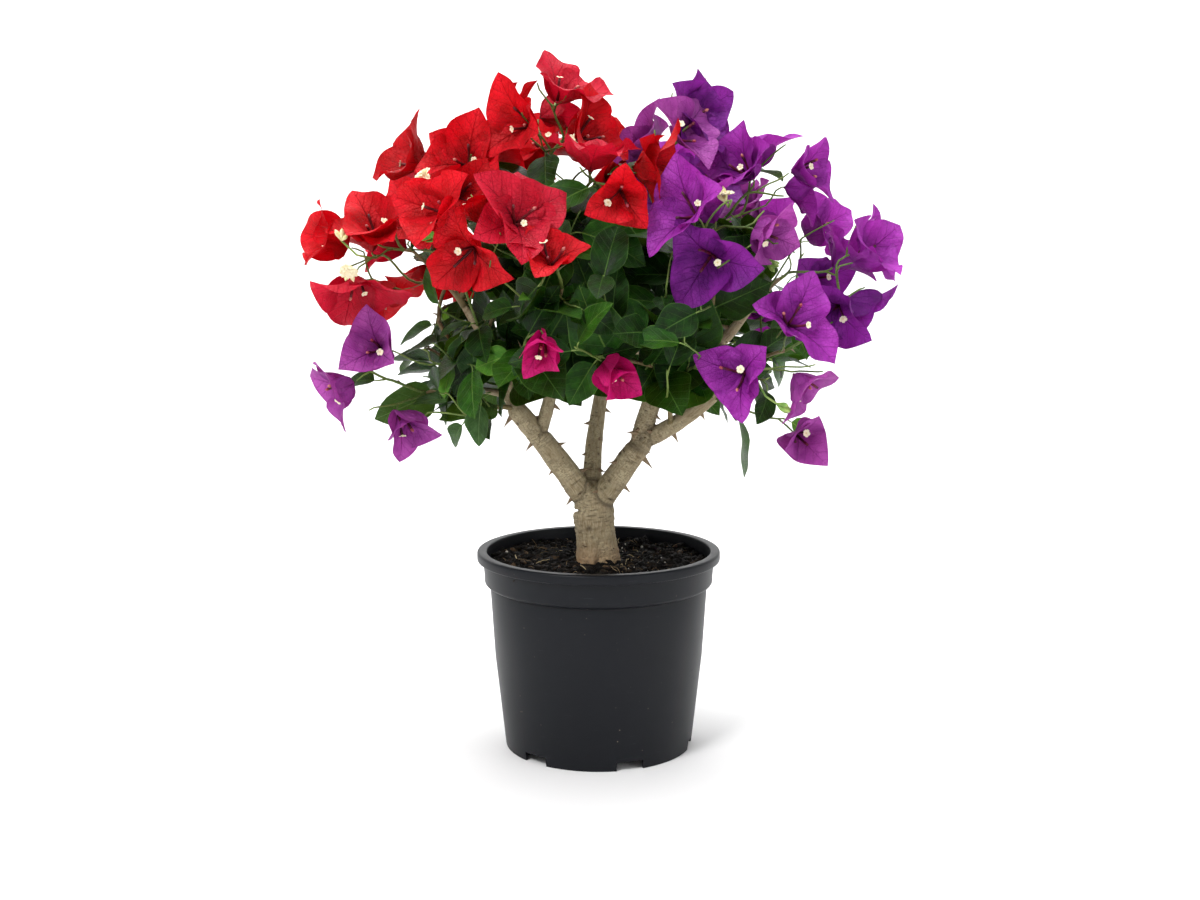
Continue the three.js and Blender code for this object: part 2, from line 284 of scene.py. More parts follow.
def pot_material():
    material, tree = new_material("satin_black_plastic")
    place = tree.node("ShaderNodeTexCoord", out=3)
    height = tree.node("ShaderNodeSeparateXYZ", None, {0: place}, 2)
    cloud = tree.noise(place, 18.0)
    grain = tree.noise(place, 1400.0, 2.0)
    stretched = tree.node("ShaderNodeMapping", None, {"Vector": place, "Scale": (60.0, 60.0, 900.0)})
    scuffs = tree.noise(stretched, 1.0, 4.0).ramp(0.66, 0.74)
    specks = tree.node("ShaderNodeTexVoronoi", None, {"Vector": place, "Scale": 150.0})
    patch = tree.noise(place, 35.0).ramp(0.50, 0.68)
    foot = 1.0 - height.ramp(0.0, 0.075)
    dust = (1.0 - specks.ramp(0.05, 0.11)) * patch * (0.25 + 0.75 * foot)
    colour = tree.mix(cloud, (0.0036, 0.0044, 0.0064), (0.0064, 0.0076, 0.0104))
    colour = tree.mix(scuffs * 0.35, colour, (0.030, 0.033, 0.038))
    colour = tree.mix(dust * 0.8, colour, (0.20, 0.16, 0.12))
    roughness = 0.38 + 0.10 * cloud + 0.14 * scuffs + 0.3 * dust
    normal = tree.bump(grain + 0.4 * scuffs, 0.00004, 0.5)
    finish_material(tree, colour, roughness, normal, {"Specular IOR Level": 0.17})
    return material


points, faces = lathe(pot_profile(), 160)
pot = mesh_piece("nursery_pot", points, [faces], pot_material(), smooth=False)
cut_slots(pot)
pot.data.shade_smooth()
pot.data.set_sharp_from_angle(angle=math.radians(32))
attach(pot, "root")
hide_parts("pot")


# The compost is dark, moist and crumbly, filled to just under the lip. Its surface is lumps and
# crumbs, with chips of bark, short fibres and straws, and a few white grains of perlite.

chance = np.random.default_rng(7)
soil_low, soil_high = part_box("soil")
trunk_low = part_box("trunk")[0]
soil_level = trunk_low[2]
soil_radius = (soil_high[0] - soil_low[0]) / 2


def soil_height(x, y):
    place = Vector((x * 46, y * 46, 3.0))
    lumps = noise.fractal(place, 0.9, 2.1, 5)
    near_trunk = math.exp(-((math.hypot(x, y) / 0.021) ** 4))
    return soil_level - 0.0012 + 0.0036 * lumps * (1 - near_trunk) + 0.0016 * near_trunk


def soil_mesh():
    around, rings = 220, 76
    angle = np.linspace(0, 2 * math.pi, around, endpoint=False)
    surface = []
    for ring in range(rings, 0, -1):
        radius = soil_radius * (ring / rings) * 0.999
        surface += [(radius * math.cos(a), radius * math.sin(a)) for a in angle]
    top = [(x, y, soil_height(x, y)) for x, y in surface]
    wall_radius = wall_top_radius - pot_wall - 0.0006
    floor_radius = foot_radius - pot_wall - 0.0006
    side = [(soil_radius * 0.998, band_foot), (wall_radius, shoulder_foot)]
    side += [(floor_radius, channel_top + 0.004), (channel_inner - 0.006, channel_top + 0.004)]
    side += [(channel_inner - 0.008, soil_low[2]), (0.001, soil_low[2])]
    body = [(r * math.cos(a), r * math.sin(a), z) for r, z in reversed(side) for a in angle]
    points = np.array(body + top)
    quads = ring_quads(len(side) + rings, around)
    last = len(points) - around
    middle = np.array([[*points[last:, :2].mean(axis=0), soil_height(0, 0)]])
    points = np.concatenate([points, middle, [[0, 0, soil_low[2]]]])
    place = np.arange(around)
    after = (place + 1) % around
    lid = np.stack([last + place, last + after, np.full(around, len(points) - 2)], axis=1)
    base = np.stack([after, place, np.full(around, len(points) - 1)], axis=1)
    return points, [quads, lid, base]


def crumb_shapes(count, low, high, flat, spread, slim=1.0, tilt=0.6):
    """Small angular crumbs lying on the soil: points and faces of all of them."""
    seed = bmesh.new()
    bmesh.ops.create_icosphere(seed, subdivisions=1, radius=1.0)
    shape = np.array([v.co for v in seed.verts])
    faces = np.array([[v.index for v in f.verts] for f in seed.faces])
    seed.free()
    parts = []
    for _ in range(count):
        radius = soil_radius * spread * math.sqrt(chance.random())
        angle = chance.random() * 2 * math.pi
        x, y = radius * math.cos(angle), radius * math.sin(angle)
        if math.hypot(x, y) < 0.019:
            continue
        size = low + (high - low) * chance.random() ** 2.2
        stretch = np.array([1.0, slim * (0.4 + 0.6 * chance.random()), flat * (0.5 + chance.random())])
        ragged = shape * (1 + 0.32 * chance.standard_normal((len(shape), 1)))
        turned = random_turn(tilt) @ (ragged * stretch * size).T
        lift = size * flat * 0.35
        parts.append((turned.T + (x, y, soil_height(x, y) + lift), [faces]))
    return join(parts)


def random_turn(tilt):
    """A turn about Z by any angle, and a little about X."""
    a, b = chance.random() * 2 * math.pi, tilt * chance.standard_normal()
    turn = np.array([[math.cos(a), -math.sin(a), 0], [math.sin(a), math.cos(a), 0], [0, 0, 1]])
    lean = np.array([[1, 0, 0], [0, math.cos(b), -math.sin(b)], [0, math.sin(b), math.cos(b)]])
    return turn @ lean


def tube(line, radii, sides, cap=True):
    """Points and faces of a round tube along an array of points, with one radius at each."""
    line = np.asarray(line, dtype=float)
    heading = np.gradient(line, axis=0)
    heading /= np.linalg.norm(heading, axis=1)[:, None] + 1e-12
    side = np.cross(heading[0], (0.31, 0.77, 0.55))
    angle = np.linspace(0, 2 * math.pi, sides, endpoint=False)
    points = []
    for place, forward, radius in zip(line, heading, radii):
        side = side - forward * np.dot(side, forward)
        side /= np.linalg.norm(side) + 1e-12
        other = np.cross(forward, side)
        ring = np.outer(np.cos(angle), side) + np.outer(np.sin(angle), other)
        points.append(place + radius * ring)
    points = np.concatenate(points)
    faces = [ring_quads(len(line), sides)]
    if cap:
        last = len(points)
        points = np.concatenate([points, [line[0]], [line[-1]]])
        place = np.arange(sides)
        after = (place + 1) % sides
        end = (len(line) - 1) * sides
        faces.append(np.stack([after, place, np.full(sides, last)], axis=1))
        faces.append(np.stack([end + place, end + after, np.full(sides, last + 1)], axis=1))
    return points, faces


def join(parts):
    """Joins many (points, faces) into one; faces keep their number of corners."""
    points, faces, start = [], {}, 0
    for part_points, part_faces in parts:
        points.append(part_points)
        for block in part_faces:
            faces.setdefault(block.shape[1], []).append(block + start)
        start += len(part_points)
    return np.concatenate(points), [np.concatenate(blocks) for blocks in faces.values()]


def soil_material(name, dark, light, rough=0.85):
    material, tree = new_material(name)
    place = tree.node("ShaderNodeTexCoord", out=3)
    coarse = tree.noise(place, 160.0, 5.0, 0.7)
    fine = tree.noise(place, 900.0, 3.0, 0.7)
    colour = tree.mix(coarse.ramp(0.35, 0.70), dark, light)
    colour = tree.mix(fine.ramp(0.55, 0.8) * 0.5, colour, [min(1.0, c * 1.8) for c in light])
    normal = tree.bump(coarse + 0.6 * fine, 0.0011, 0.9)
    finish_material(tree, colour, rough - 0.25 * fine, normal, {"Specular IOR Level": 0.13})
    return material


def fibre_shapes(count, length, radius):
    parts = []
    for _ in range(count):
        reach = soil_radius * 0.9 * math.sqrt(chance.random())
        angle = chance.random() * 2 * math.pi
        start = np.array([reach * math.cos(angle), reach * math.sin(angle)])
        if np.hypot(*start) < 0.024:
            continue
        heading = chance.random() * 2 * math.pi
        bend = chance.normal(0, 0.9)
        size = length * (0.4 + chance.random())
        slope = 0.0035 * chance.random() ** 3
        line = []
        for t in np.linspace(0, 1, 9):
            turn = heading + bend * t
            start = start + size / 9 * np.array([math.cos(turn), math.sin(turn)])
            if np.hypot(*start) > soil_radius * 0.95:
                start *= soil_radius * 0.95 / np.hypot(*start)
            lift = 0.0010 + 0.0012 * math.sin(math.pi * t) + slope * t
            line.append((*start, soil_height(*start) + lift))
        taper = radius * (1 - 0.5 * np.linspace(0, 1, 9))
        parts.append(tube(line, taper, 5))
    return join(parts)


points, faces = soil_mesh()
soil = mesh_piece("compost", points, faces,
                  soil_material("compost", (0.0008, 0.0007, 0.0006), (0.0042, 0.0031, 0.0023)))
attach(soil, "root")
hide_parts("soil")

points, faces = crumb_shapes(2600, 0.0007, 0.0036, 0.6, 0.985)
crumbs = mesh_piece("compost_crumbs", points, faces,
                    soil_material("crumbs", (0.0010, 0.0008, 0.0007), (0.0066, 0.0048, 0.0034)),
                    smooth=False)
points, faces = crumb_shapes(900, 0.0024, 0.0085, 0.16, 0.95, 0.34, 0.9)
shreds = mesh_piece("compost_shreds", points, faces,
                    soil_material("shreds", (0.0022, 0.0016, 0.0012), (0.024, 0.0155, 0.0095)), smooth=False)
points, faces = crumb_shapes(150, 0.0014, 0.0050, 0.30, 0.94, 0.6, 0.8)
chips = mesh_piece("bark_chips", points, faces,
                   soil_material("chips", (0.020, 0.012, 0.0065), (0.110, 0.070, 0.040)), smooth=False)
points, faces = crumb_shapes(46, 0.0007, 0.0017, 0.9, 0.95)
perlite = mesh_piece("perlite_grains", points, faces,
                     soil_material("perlite", (0.42, 0.40, 0.35), (0.70, 0.68, 0.62)), smooth=False)
points, faces = fibre_shapes(85, 0.009, 0.00024)
fibres = mesh_piece("compost_fibres", points, faces,
                    soil_material("fibres", (0.07, 0.045, 0.022), (0.30, 0.22, 0.13)))
points, faces = fibre_shapes(13, 0.019, 0.00042)
straws = mesh_piece("straws", points, faces,
                    soil_material("straw", (0.26, 0.20, 0.11), (0.56, 0.46, 0.28)))
for piece in (crumbs, shreds, chips, fibres, straws):
    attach(piece, "root")
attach(perlite, "root")


# The trunk and boughs are grey-brown wood with thin, tight bark. Their lines and thickness come
# from the solids they replace. Beyond them the wood grows on: a leader into each mass of the
# crown, and from the leaders a shoot to each bloom and each spray of leaves.

limb_names = ["trunk", "bough_left", "bough_middle", "bough_right", "bough_left_shoot",
              "bough_right_upper", "bough_right_side", "bough_right_fork", "bough_right_tip"]
stem_step = 0.006


def unit(vectors):
    vectors = np.asarray(vectors, dtype=float)
    return vectors / (np.linalg.norm(vectors, axis=-1, keepdims=True) + 1e-12)


def limb_line(name):
    """Centre line and radii of a limb, from slices across its solid."""
    mesh = frame["nodes"][name].data
    mesh.calc_loop_triangles()
    corners = np.array([vertex.co for vertex in mesh.vertices])
    triangles = corners[np.array([triangle.vertices for triangle in mesh.loop_triangles])]
    chord = np.linalg.svd(corners - corners.mean(axis=0), full_matrices=False)[2][0]
    if name == "trunk":
        chord = np.array([0.0, 0.0, 1.0])
    chord = chord * np.sign(chord[2])
    depth = triangles @ chord
    skip = 0.002 if name == "trunk" else 0.013
    low, high = depth.min() + skip, depth.max() - 0.004
    places = np.linspace(low, high, max(3, round((high - low) / stem_step)))
    line, areas = [], []
    for place in places:
        level = depth - place
        following = np.roll(level, -1, axis=1)
        crossing = (level > 0) != (following > 0)
        cut = crossing.any(axis=1)
        share = level[cut] / np.where(crossing[cut], level[cut] - following[cut], 1.0)
        met = triangles[cut] + share[..., None] * (np.roll(triangles[cut], -1, axis=1) - triangles[cut])
        ends = met[crossing[cut]].reshape(-1, 2, 3)
        length = np.linalg.norm(ends[:, 1] - ends[:, 0], axis=1)
        centre = (ends.mean(axis=1) * length[:, None]).sum(axis=0) / length.sum()
        spokes = np.cross(ends[:, 0] - centre, ends[:, 1] - centre)
        line.append(centre)
        areas.append(np.linalg.norm(spokes, axis=1).sum() / 2)
    line = np.array(line)
    heading = unit(np.gradient(line, axis=0))
    radii = np.sqrt(np.array(areas) * np.abs(heading @ chord) / math.pi)
    back = 0.004 if name == "trunk" else skip + 0.006
    steps = max(1, round(back / stem_step))
    before = line[0] - heading[:2].mean(axis=0) * np.linspace(back, 0, steps, endpoint=False)[:, None]
    line = np.concatenate([before, line])
    return line, np.concatenate([np.full(steps, radii[0]), radii])


class Stems:
    """The plant's wood as points. Each has a parent, a heading and its way from the root."""

    def __init__(self):
        self.place = np.zeros((0, 3))
        self.heading = np.zeros((0, 3))
        self.parent = np.zeros(0, dtype=int)
        self.path = np.zeros(0)
        self.limb = np.zeros(0)
        self.open = np.zeros(0, dtype=bool)

    def add(self, line, parent, limb=None, shoots=True):
        """Adds a line growing from the point numbered parent, and gives its points' numbers."""
        line = np.asarray(line)
        first = len(self.place)
        numbers = np.arange(first, first + len(line))
        root = line[0] if parent < 0 else self.place[parent]
        steps = np.diff(np.vstack([root, line]), axis=0)
        length = np.linalg.norm(steps, axis=1)
        heading = unit(steps)
        if parent < 0:
            heading[0] = heading[1]
        start = 0.0 if parent < 0 else self.path[parent]
        self.place = np.vstack([self.place, line])
        self.heading = np.vstack([self.heading, heading])
        self.parent = np.concatenate([self.parent, [parent], numbers[:-1]])
        self.path = np.concatenate([self.path, start + np.cumsum(length) + 1e-9])
        self.limb = np.concatenate([self.limb, np.zeros(len(line)) if limb is None else limb])
        opens = np.full(len(line), shoots) if np.isscalar(shoots) else shoots
        self.open = np.concatenate([self.open, opens])
        return numbers

    def nearest(self, target, thrift=0.35, turn=0.3):
        """The open point from which a shoot reaches the target with the least wood and bend."""
        way = target - self.place
        reach = np.linalg.norm(way, axis=1)
        bend = (unit(way) * self.heading).sum(axis=1)
        cost = reach * (1 + turn * (1 - bend)) + thrift * self.path
        cost[~self.open] = 9.0
        return int(np.argmin(cost))

    def grow(self, target, ending, lean=0.8, sway=0.035, thrift=0.35):
        """Grows a shoot to the target, arriving with the heading ending."""
        start = self.nearest(target, thrift)
        begin = self.place[start]
        way = target - begin
        reach = np.linalg.norm(way)
        leaving = unit(0.55 * self.heading[start] + 0.75 * unit(way)) * reach * lean
        arriving = unit(ending) * reach * lean * 0.8
        count = max(2, round(reach / stem_step))
        t = (np.arange(1, count + 1) / count)[:, None]
        line = (2 * t**3 - 3 * t**2 + 1) * begin + (t**3 - 2 * t**2 + t) * leaving
        line = line + (3 * t**2 - 2 * t**3) * target + (t**3 - t**2) * arriving
        swing = unit(np.cross(way, chance.standard_normal(3)))
        line = line + swing * np.sin(2 * math.pi * t) * reach * sway * chance.standard_normal()
        return self.add(line, start)


stems = Stems()
limb_numbers = {}
for name in limb_names:
    line, radii = limb_line(name)
    bare = {"trunk": 2.0, "bough_left": 0.72, "bough_middle": 0.62, "bough_right": 2.0}.get(name, 0.35)
    opens = np.linspace(0, 1, len(line)) > bare
    if name == "trunk":
        joined = -1
    else:
        joined = int(np.argmin(np.linalg.norm(stems.place - line[0], axis=1)))
    limb_numbers[name] = stems.add(line, joined, limb=radii, shoots=opens)

# The masses of the crown, as centres and half sizes, give the leaders' ends and the crown's limits.
mass_names = [name for name in frame["nodes"] if name.startswith(("red_", "purple_", "leaves_"))]
mass_boxes = {name: np.array(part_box(name)) for name in mass_names}
mass_centres = np.array([mass_boxes[name].mean(axis=0) for name in mass_names])
mass_halves = np.array([(box[1] - box[0]) / 2 for box in mass_boxes.values()])
crown_low = np.min([box[0] for box in mass_boxes.values()], axis=0)
crown_high = np.max([box[1] for box in mass_boxes.values()], axis=0)
crown_middle = (crown_low + crown_high) / 2
crown_half = (crown_high - crown_low) / 2
crown_heart = crown_middle - (0, 0, 0.25 * crown_half[2])


ends = [0.72 * mass_centres[i] + 0.28 * crown_heart for i in range(len(mass_names))]
for _ in mass_names:
    reaches = [np.linalg.norm(stems.place[stems.open] - end, axis=1).min() for end in ends]
    end = ends.pop(int(np.argmin(reaches)))
    stems.grow(end, unit(end - crown_heart) + (0, 0, 0.35), sway=0.05, thrift=0.2)

def bloom_frame(axis):
    """Two directions square to a bloom's axis: the first as near to upright as can be."""
    level = np.array([0, 0, 1.0]) - axis * axis[2]
    if np.linalg.norm(level) < 0.05:
        level = np.array([0, 1.0, 0]) - axis * axis[1]
    level = unit(level)
    return level, np.cross(axis, level)


def mass_depth(points):
    """For each point, how far out it is in the mass that holds it best: 1 is that mass's surface."""
    apart = (np.asarray(points)[:, None, :] - mass_centres) / mass_halves
    return np.linalg.norm(apart, axis=2)


def surface_places(name):
    """Centres and outward normals of a mass's faces that look out of the crown."""
    mesh = frame["nodes"][name].data
    centres = np.array([face.center for face in mesh.polygons])
    normals = np.array([face.normal for face in mesh.polygons])
    outward = (unit(centres - crown_heart) * normals).sum(axis=1) > 0.15
    others = [i for i, other in enumerate(mass_names) if other != name]
    clear = mass_depth(centres + normals * 0.012)[:, others].min(axis=1) > 1.0
    keep = outward & clear
    return centres[keep], normals[keep]


# Blooms stand all round on the outer faces of the blossom masses. On the two low sprays they
# hang, and a few half-open ones stand out from the front leaves. All turn a little to the light.
bloom_gap = 0.028
bloom_depth = 0.028
to_the_light = np.array([0.0, -0.40, 0.12])
spray_gap = 0.030
spray_depth = 0.020
spray_hang = np.array([0.0, 0.3, 0.45])
young_gap = 0.042
young_depth = 0.012
young_size = 0.034
blossom_tints = {"red": ["red", "red", "red", "ruby", "rose"],
                 "purple": ["purple", "purple", "purple", "deep", "lilac"]}
young_tints = ["magenta", "red", "magenta", "magenta"]
blooms = []


def try_bloom(tint, place, heading, gap, size, wide):
    """Adds a bloom where there is room: its axis, roll, length of bract and opening in degrees."""
    if any(np.linalg.norm(place - other) < gap for _, other, *_ in blooms):
        return False
    axis = unit(heading + 0.22 * chance.standard_normal(3))
    blooms.append((tint, place, axis, chance.random() * 120, size, wide))
    return True


for name in mass_names:
    family = name.split("_")[0]
    centres, normals = surface_places(name)
    order = chance.permutation(len(centres))
    if "spray" in name:
        for i in order:
            try_bloom("lilac", centres[i] - normals[i] * spray_depth, normals[i] - spray_hang,
                      spray_gap, chance.uniform(0.036, 0.044), chance.uniform(30, 52))
    elif family in blossom_tints:
        for i in order:
            size = chance.uniform(0.038, 0.047)
            tint = str(chance.choice(blossom_tints[family]))
            placed = try_bloom(tint, centres[i] - normals[i] * bloom_depth,
                               normals[i] + to_the_light, bloom_gap, size, chance.uniform(44, 66))
            if placed and chance.random() < 0.35:
                tint, place, axis, roll, size, wide = blooms[-1]
                blooms.append((tint, place - axis * 0.002, axis, roll + 60, size * 0.92, wide + 8))
    elif name == "leaves_front":
        left = list(young_tints)
        for i in order:
            half_open = left and left[-1] == "magenta"
            heading = normals[i] - (0, 0, 0.3 if half_open else 0.0)
            if left and normals[i][1] < -0.5 and try_bloom(
                    left[-1], centres[i] - normals[i] * young_depth, heading,
                    young_gap, young_size, 27 if half_open else 56):
                left.pop()

# Leafy shoots end on the outside of the leaf masses, inside the blossom masses and in the heart.
leafy_ends = []


def try_leafy_end(place, heading, apart):
    if all(np.linalg.norm(place - other) > apart for other, _ in leafy_ends):
        leafy_ends.append((place, unit(heading)))


for name, centre, half in zip(mass_names, mass_centres, mass_halves):
    blossom = not name.startswith("leaves") and "spray" not in name
    centres, normals = surface_places(name)
    for i in chance.permutation(len(centres)):
        deep = chance.uniform(0.030, 0.048) if blossom else chance.uniform(0.010, 0.024)
        droop = -0.35 if centres[i][2] < crown_middle[2] - 0.35 * crown_half[2] else 0.2
        heading = normals[i] + (0, 0, droop) + 0.3 * chance.standard_normal(3)
        try_leafy_end(centres[i] - normals[i] * deep, heading, 0.027 if blossom else 0.024)
    for _ in range(110):
        place = centre + half * unit(chance.standard_normal(3)) * chance.uniform(0.2, 0.8)
        heading = unit(place - crown_heart) + (0, 0, 0.2) + 0.4 * chance.standard_normal(3)
        try_leafy_end(place, heading, 0.028)

jobs = [("bloom", place - axis * 0.002, axis, number)
        for number, (_, place, axis, *_) in enumerate(blooms)]
jobs += [("leafy", place, heading, None) for place, heading in leafy_ends]
jobs.sort(key=lambda job: np.linalg.norm((job[1] - crown_heart) / crown_half))
bloom_shoots, leafy_shoots = {}, []
for kind, place, heading, number in jobs:
    shoot = stems.grow(place, heading)
    if kind == "bloom":
        bloom_shoots[number] = shoot
    else:
        leafy_shoots.append(shoot)

leaf_hold = 0.009


def stem_radii(tip=0.00075, power=2.35):
    """Radii by the pipe rule: a stem's radius, raised to the power, is the sum of its shoots'."""
    flow = np.zeros(len(stems.place))
    main = np.full(len(stems.place), -1)
    for i in np.argsort(-stems.path):
        if flow[i] == 0:
            flow[i] = tip**power
        parent = stems.parent[i]
        if parent >= 0:
            flow[parent] += flow[i]
            if main[parent] < 0 or flow[main[parent]] < flow[i]:
                main[parent] = i
    radii = flow ** (1 / power)
    for i in np.argsort(stems.path):
        if stems.limb[i] > 0:
            radii[i] = stems.limb[i]
            continue
        parent = stems.parent[i]
        if main[parent] == i:
            radii[i] = max(radii[i], radii[parent] * 0.93) if radii[parent] > 0.0022 else radii[i]
        radii[i] = min(radii[i], radii[parent] * 0.97)
    return radii, main


stem_radius, stem_main = stem_radii()


# Bark: every stem thicker than a pencil's half is one skin of bark, welded at the forks, with
# ridges along the limb, wrinkled collars, knots, and a cleft foot where it flares into the soil.

bark_least = 0.0026
bark_voxel = 0.00086


def stem_chains(keep):
    """Runs of stem points along their main shoots, each starting at the point that it leaves."""
    chains = []
    for i in np.argsort(stems.path):
        parent = stems.parent[i]
        if not keep[i] or (parent >= 0 and keep[parent] and stem_main[parent] == i):
            continue
        chain = [parent] if parent >= 0 else []
        while i >= 0 and keep[i]:
            chain.append(i)
            i = stem_main[i]
        if len(chain) > 1:
            chains.append(chain)
    return chains


def bark_skin():
    parts = []
    foot = trunk_low[2]
    for chain in stem_chains(stem_radius > bark_least):
        line, radii = stems.place[chain], stem_radius[chain].copy()
        if chain[0] == 0:
            line = np.concatenate([[line[0] - (0, 0, 0.004)], line])
            radii = np.concatenate([radii[:1], radii])
            radii *= 1.05 + 0.10 * np.exp(-((line[:, 2] - foot) / 0.009))
        else:
            radii[0] = min(radii[0], radii[1] * 1.15)
        parts.append(tube(line, radii, 20))
    points, faces = join(parts)
    skin = mesh_piece("trunk_and_boughs", points, faces, None)
    weld = skin.modifiers.new("weld", "REMESH")
    weld.mode = "VOXEL"
    weld.voxel_size = bark_voxel
    weld.use_smooth_shade = True
    soften = skin.modifiers.new("soften", "SMOOTH")
    soften.factor = 0.5
    soften.iterations = 10
    apply_modifiers(skin)
    return skin


def stem_frames():
    """A side direction at every stem point, carried along from its parent without twisting."""
    sides = np.zeros_like(stems.place)
    for i in np.argsort(stems.path):
        parent = stems.parent[i]
        side = np.array([1.0, 0.0, 0.0]) if parent < 0 else sides[parent]
        side = side - stems.heading[i] * np.dot(side, stems.heading[i])
        sides[i] = unit(side)
    return sides


def carve_bark(skin):
    """Moves the skin's points out and in for the bark's relief, and notes their places on a limb."""
    count = len(skin.data.vertices)
    flat = np.empty(count * 3, dtype=np.float32)
    skin.data.vertices.foreach_get("co", flat)
    points = flat.reshape(-1, 3).astype(float)
    skin.data.vertices.foreach_get("normal", flat)
    normals = flat.reshape(-1, 3).astype(float)
    thick = np.flatnonzero(stem_radius > bark_least)
    nearest = np.empty(count, dtype=int)
    for start in range(0, count, 4000):
        block = points[start:start + 4000]
        gap = np.linalg.norm(block[:, None] - stems.place[thick], axis=2) - stem_radius[thick]
        nearest[start:start + 4000] = thick[np.argmin(gap, axis=1)]
    sides = stem_frames()
    offset = points - stems.place[nearest]
    along = stems.path[nearest] + (offset * stems.heading[nearest]).sum(axis=1)
    across = (offset * sides[nearest]).sum(axis=1)
    other = (offset * np.cross(stems.heading[nearest], sides[nearest])).sum(axis=1)
    on_limb = np.stack([across, other, along], axis=1)
    forks = np.array([i for i in range(len(stems.place))
                      if stems.parent[i] >= 0 and stem_main[stems.parent[i]] != i
                      and stem_radius[i] > 0.0035])
    fork_gap = np.min([np.linalg.norm(points - stems.place[i], axis=1) / (stem_radius[i] * 1.6)
                       for i in forks], axis=0)
    knots = thick[chance.random(len(thick)) < 0.42]
    knot_way = unit(chance.standard_normal((len(knots), 3)))
    knot_way -= stems.heading[knots] * (knot_way * stems.heading[knots]).sum(axis=1)[:, None]
    knot_place = stems.place[knots] + unit(knot_way) * stem_radius[knots][:, None]
    knot_size = chance.uniform(0.0014, 0.0036, len(knots)) * np.clip(stem_radius[knots] / 0.009, 0.5, 1.2)
    rise = np.zeros(count)
    # Painted shade: the pits of knots, the deep wrinkles of collars and of the foot, the cleft and the seams
    # between limbs are noted here, to be darkened in the bark's colour.
    creases = np.zeros(count)
    for place, size in zip(knot_place, knot_size):
        gap = np.linalg.norm(points - place, axis=1) / size
        creases = np.maximum(creases, np.exp(-((gap / 0.55) ** 2)))
        rise += size * (0.26 * np.exp(-gap**2) - 0.34 * np.exp(-((gap / 0.38) ** 2)))
    gaps = []
    for name in limb_names:
        limb = limb_numbers[name]
        gap = [np.linalg.norm(points - stems.place[i], axis=1) - stem_radius[i] for i in limb]
        gaps.append(np.min(gap, axis=0))
    gaps = np.sort(np.array(gaps), axis=0)
    seam = np.exp(-(((gaps[1] - gaps[0]) / 0.0012) ** 2)) * (gaps[1] < 0.004)
    width = np.clip(stem_radius[nearest] / 0.012, 0.25, 1.2)
    foot = trunk_low[2]
    for i in range(count):
        a, b, s = on_limb[i]
        ridge = noise.fractal(Vector((a * 420, b * 420, s * 95)), 0.9, 2.0, 4)
        lump = noise.noise(Vector((a * 110, b * 110, s * 60)))
        rings = noise.noise(Vector((a * 150, b * 150, s * 800)))
        collar = math.exp(-((fork_gap[i] - 0.9) ** 2) * 3.0)
        low = math.exp(-max(0.0, points[i][2] - foot) / 0.030)
        rise[i] += width[i] * (0.00030 * ridge + 0.00060 * lump)
        rise[i] += width[i] * rings * (0.00020 + 0.00050 * collar + 0.00030 * low)
        creases[i] = max(creases[i], min(1.0, -2.4 * rings - 0.40) * (0.6 * collar + 0.3 * low))
    cleft = np.exp(-(((points[:, 0] + 0.0015) / 0.0022) ** 2)) * (points[:, 1] < 0)
    cleft = cleft * np.exp(-np.maximum(0, points[:, 2] - foot) / 0.006)
    rise -= 0.0028 * cleft + 0.0007 * seam
    creases = np.clip(np.maximum(creases, np.maximum(cleft, seam * 0.6)), 0, 1)
    points += normals * rise[:, None]
    skin.data.vertices.foreach_set("co", points.astype(np.float32).ravel())
    layer = skin.data.attributes.new("on_limb", "FLOAT_VECTOR", "POINT")
    layer.data.foreach_set("vector", on_limb.astype(np.float32).ravel())
    layer = skin.data.attributes.new("creases", "FLOAT", "POINT")
    layer.data.foreach_set("value", creases.astype(np.float32))
    skin.data.update()
    skin.data.shade_smooth()


def paint(red, green, blue):
    """A colour given as on a paint card, 0 to 255, as linear light."""
    return tuple((c / 255) ** 2.2 for c in (red, green, blue))


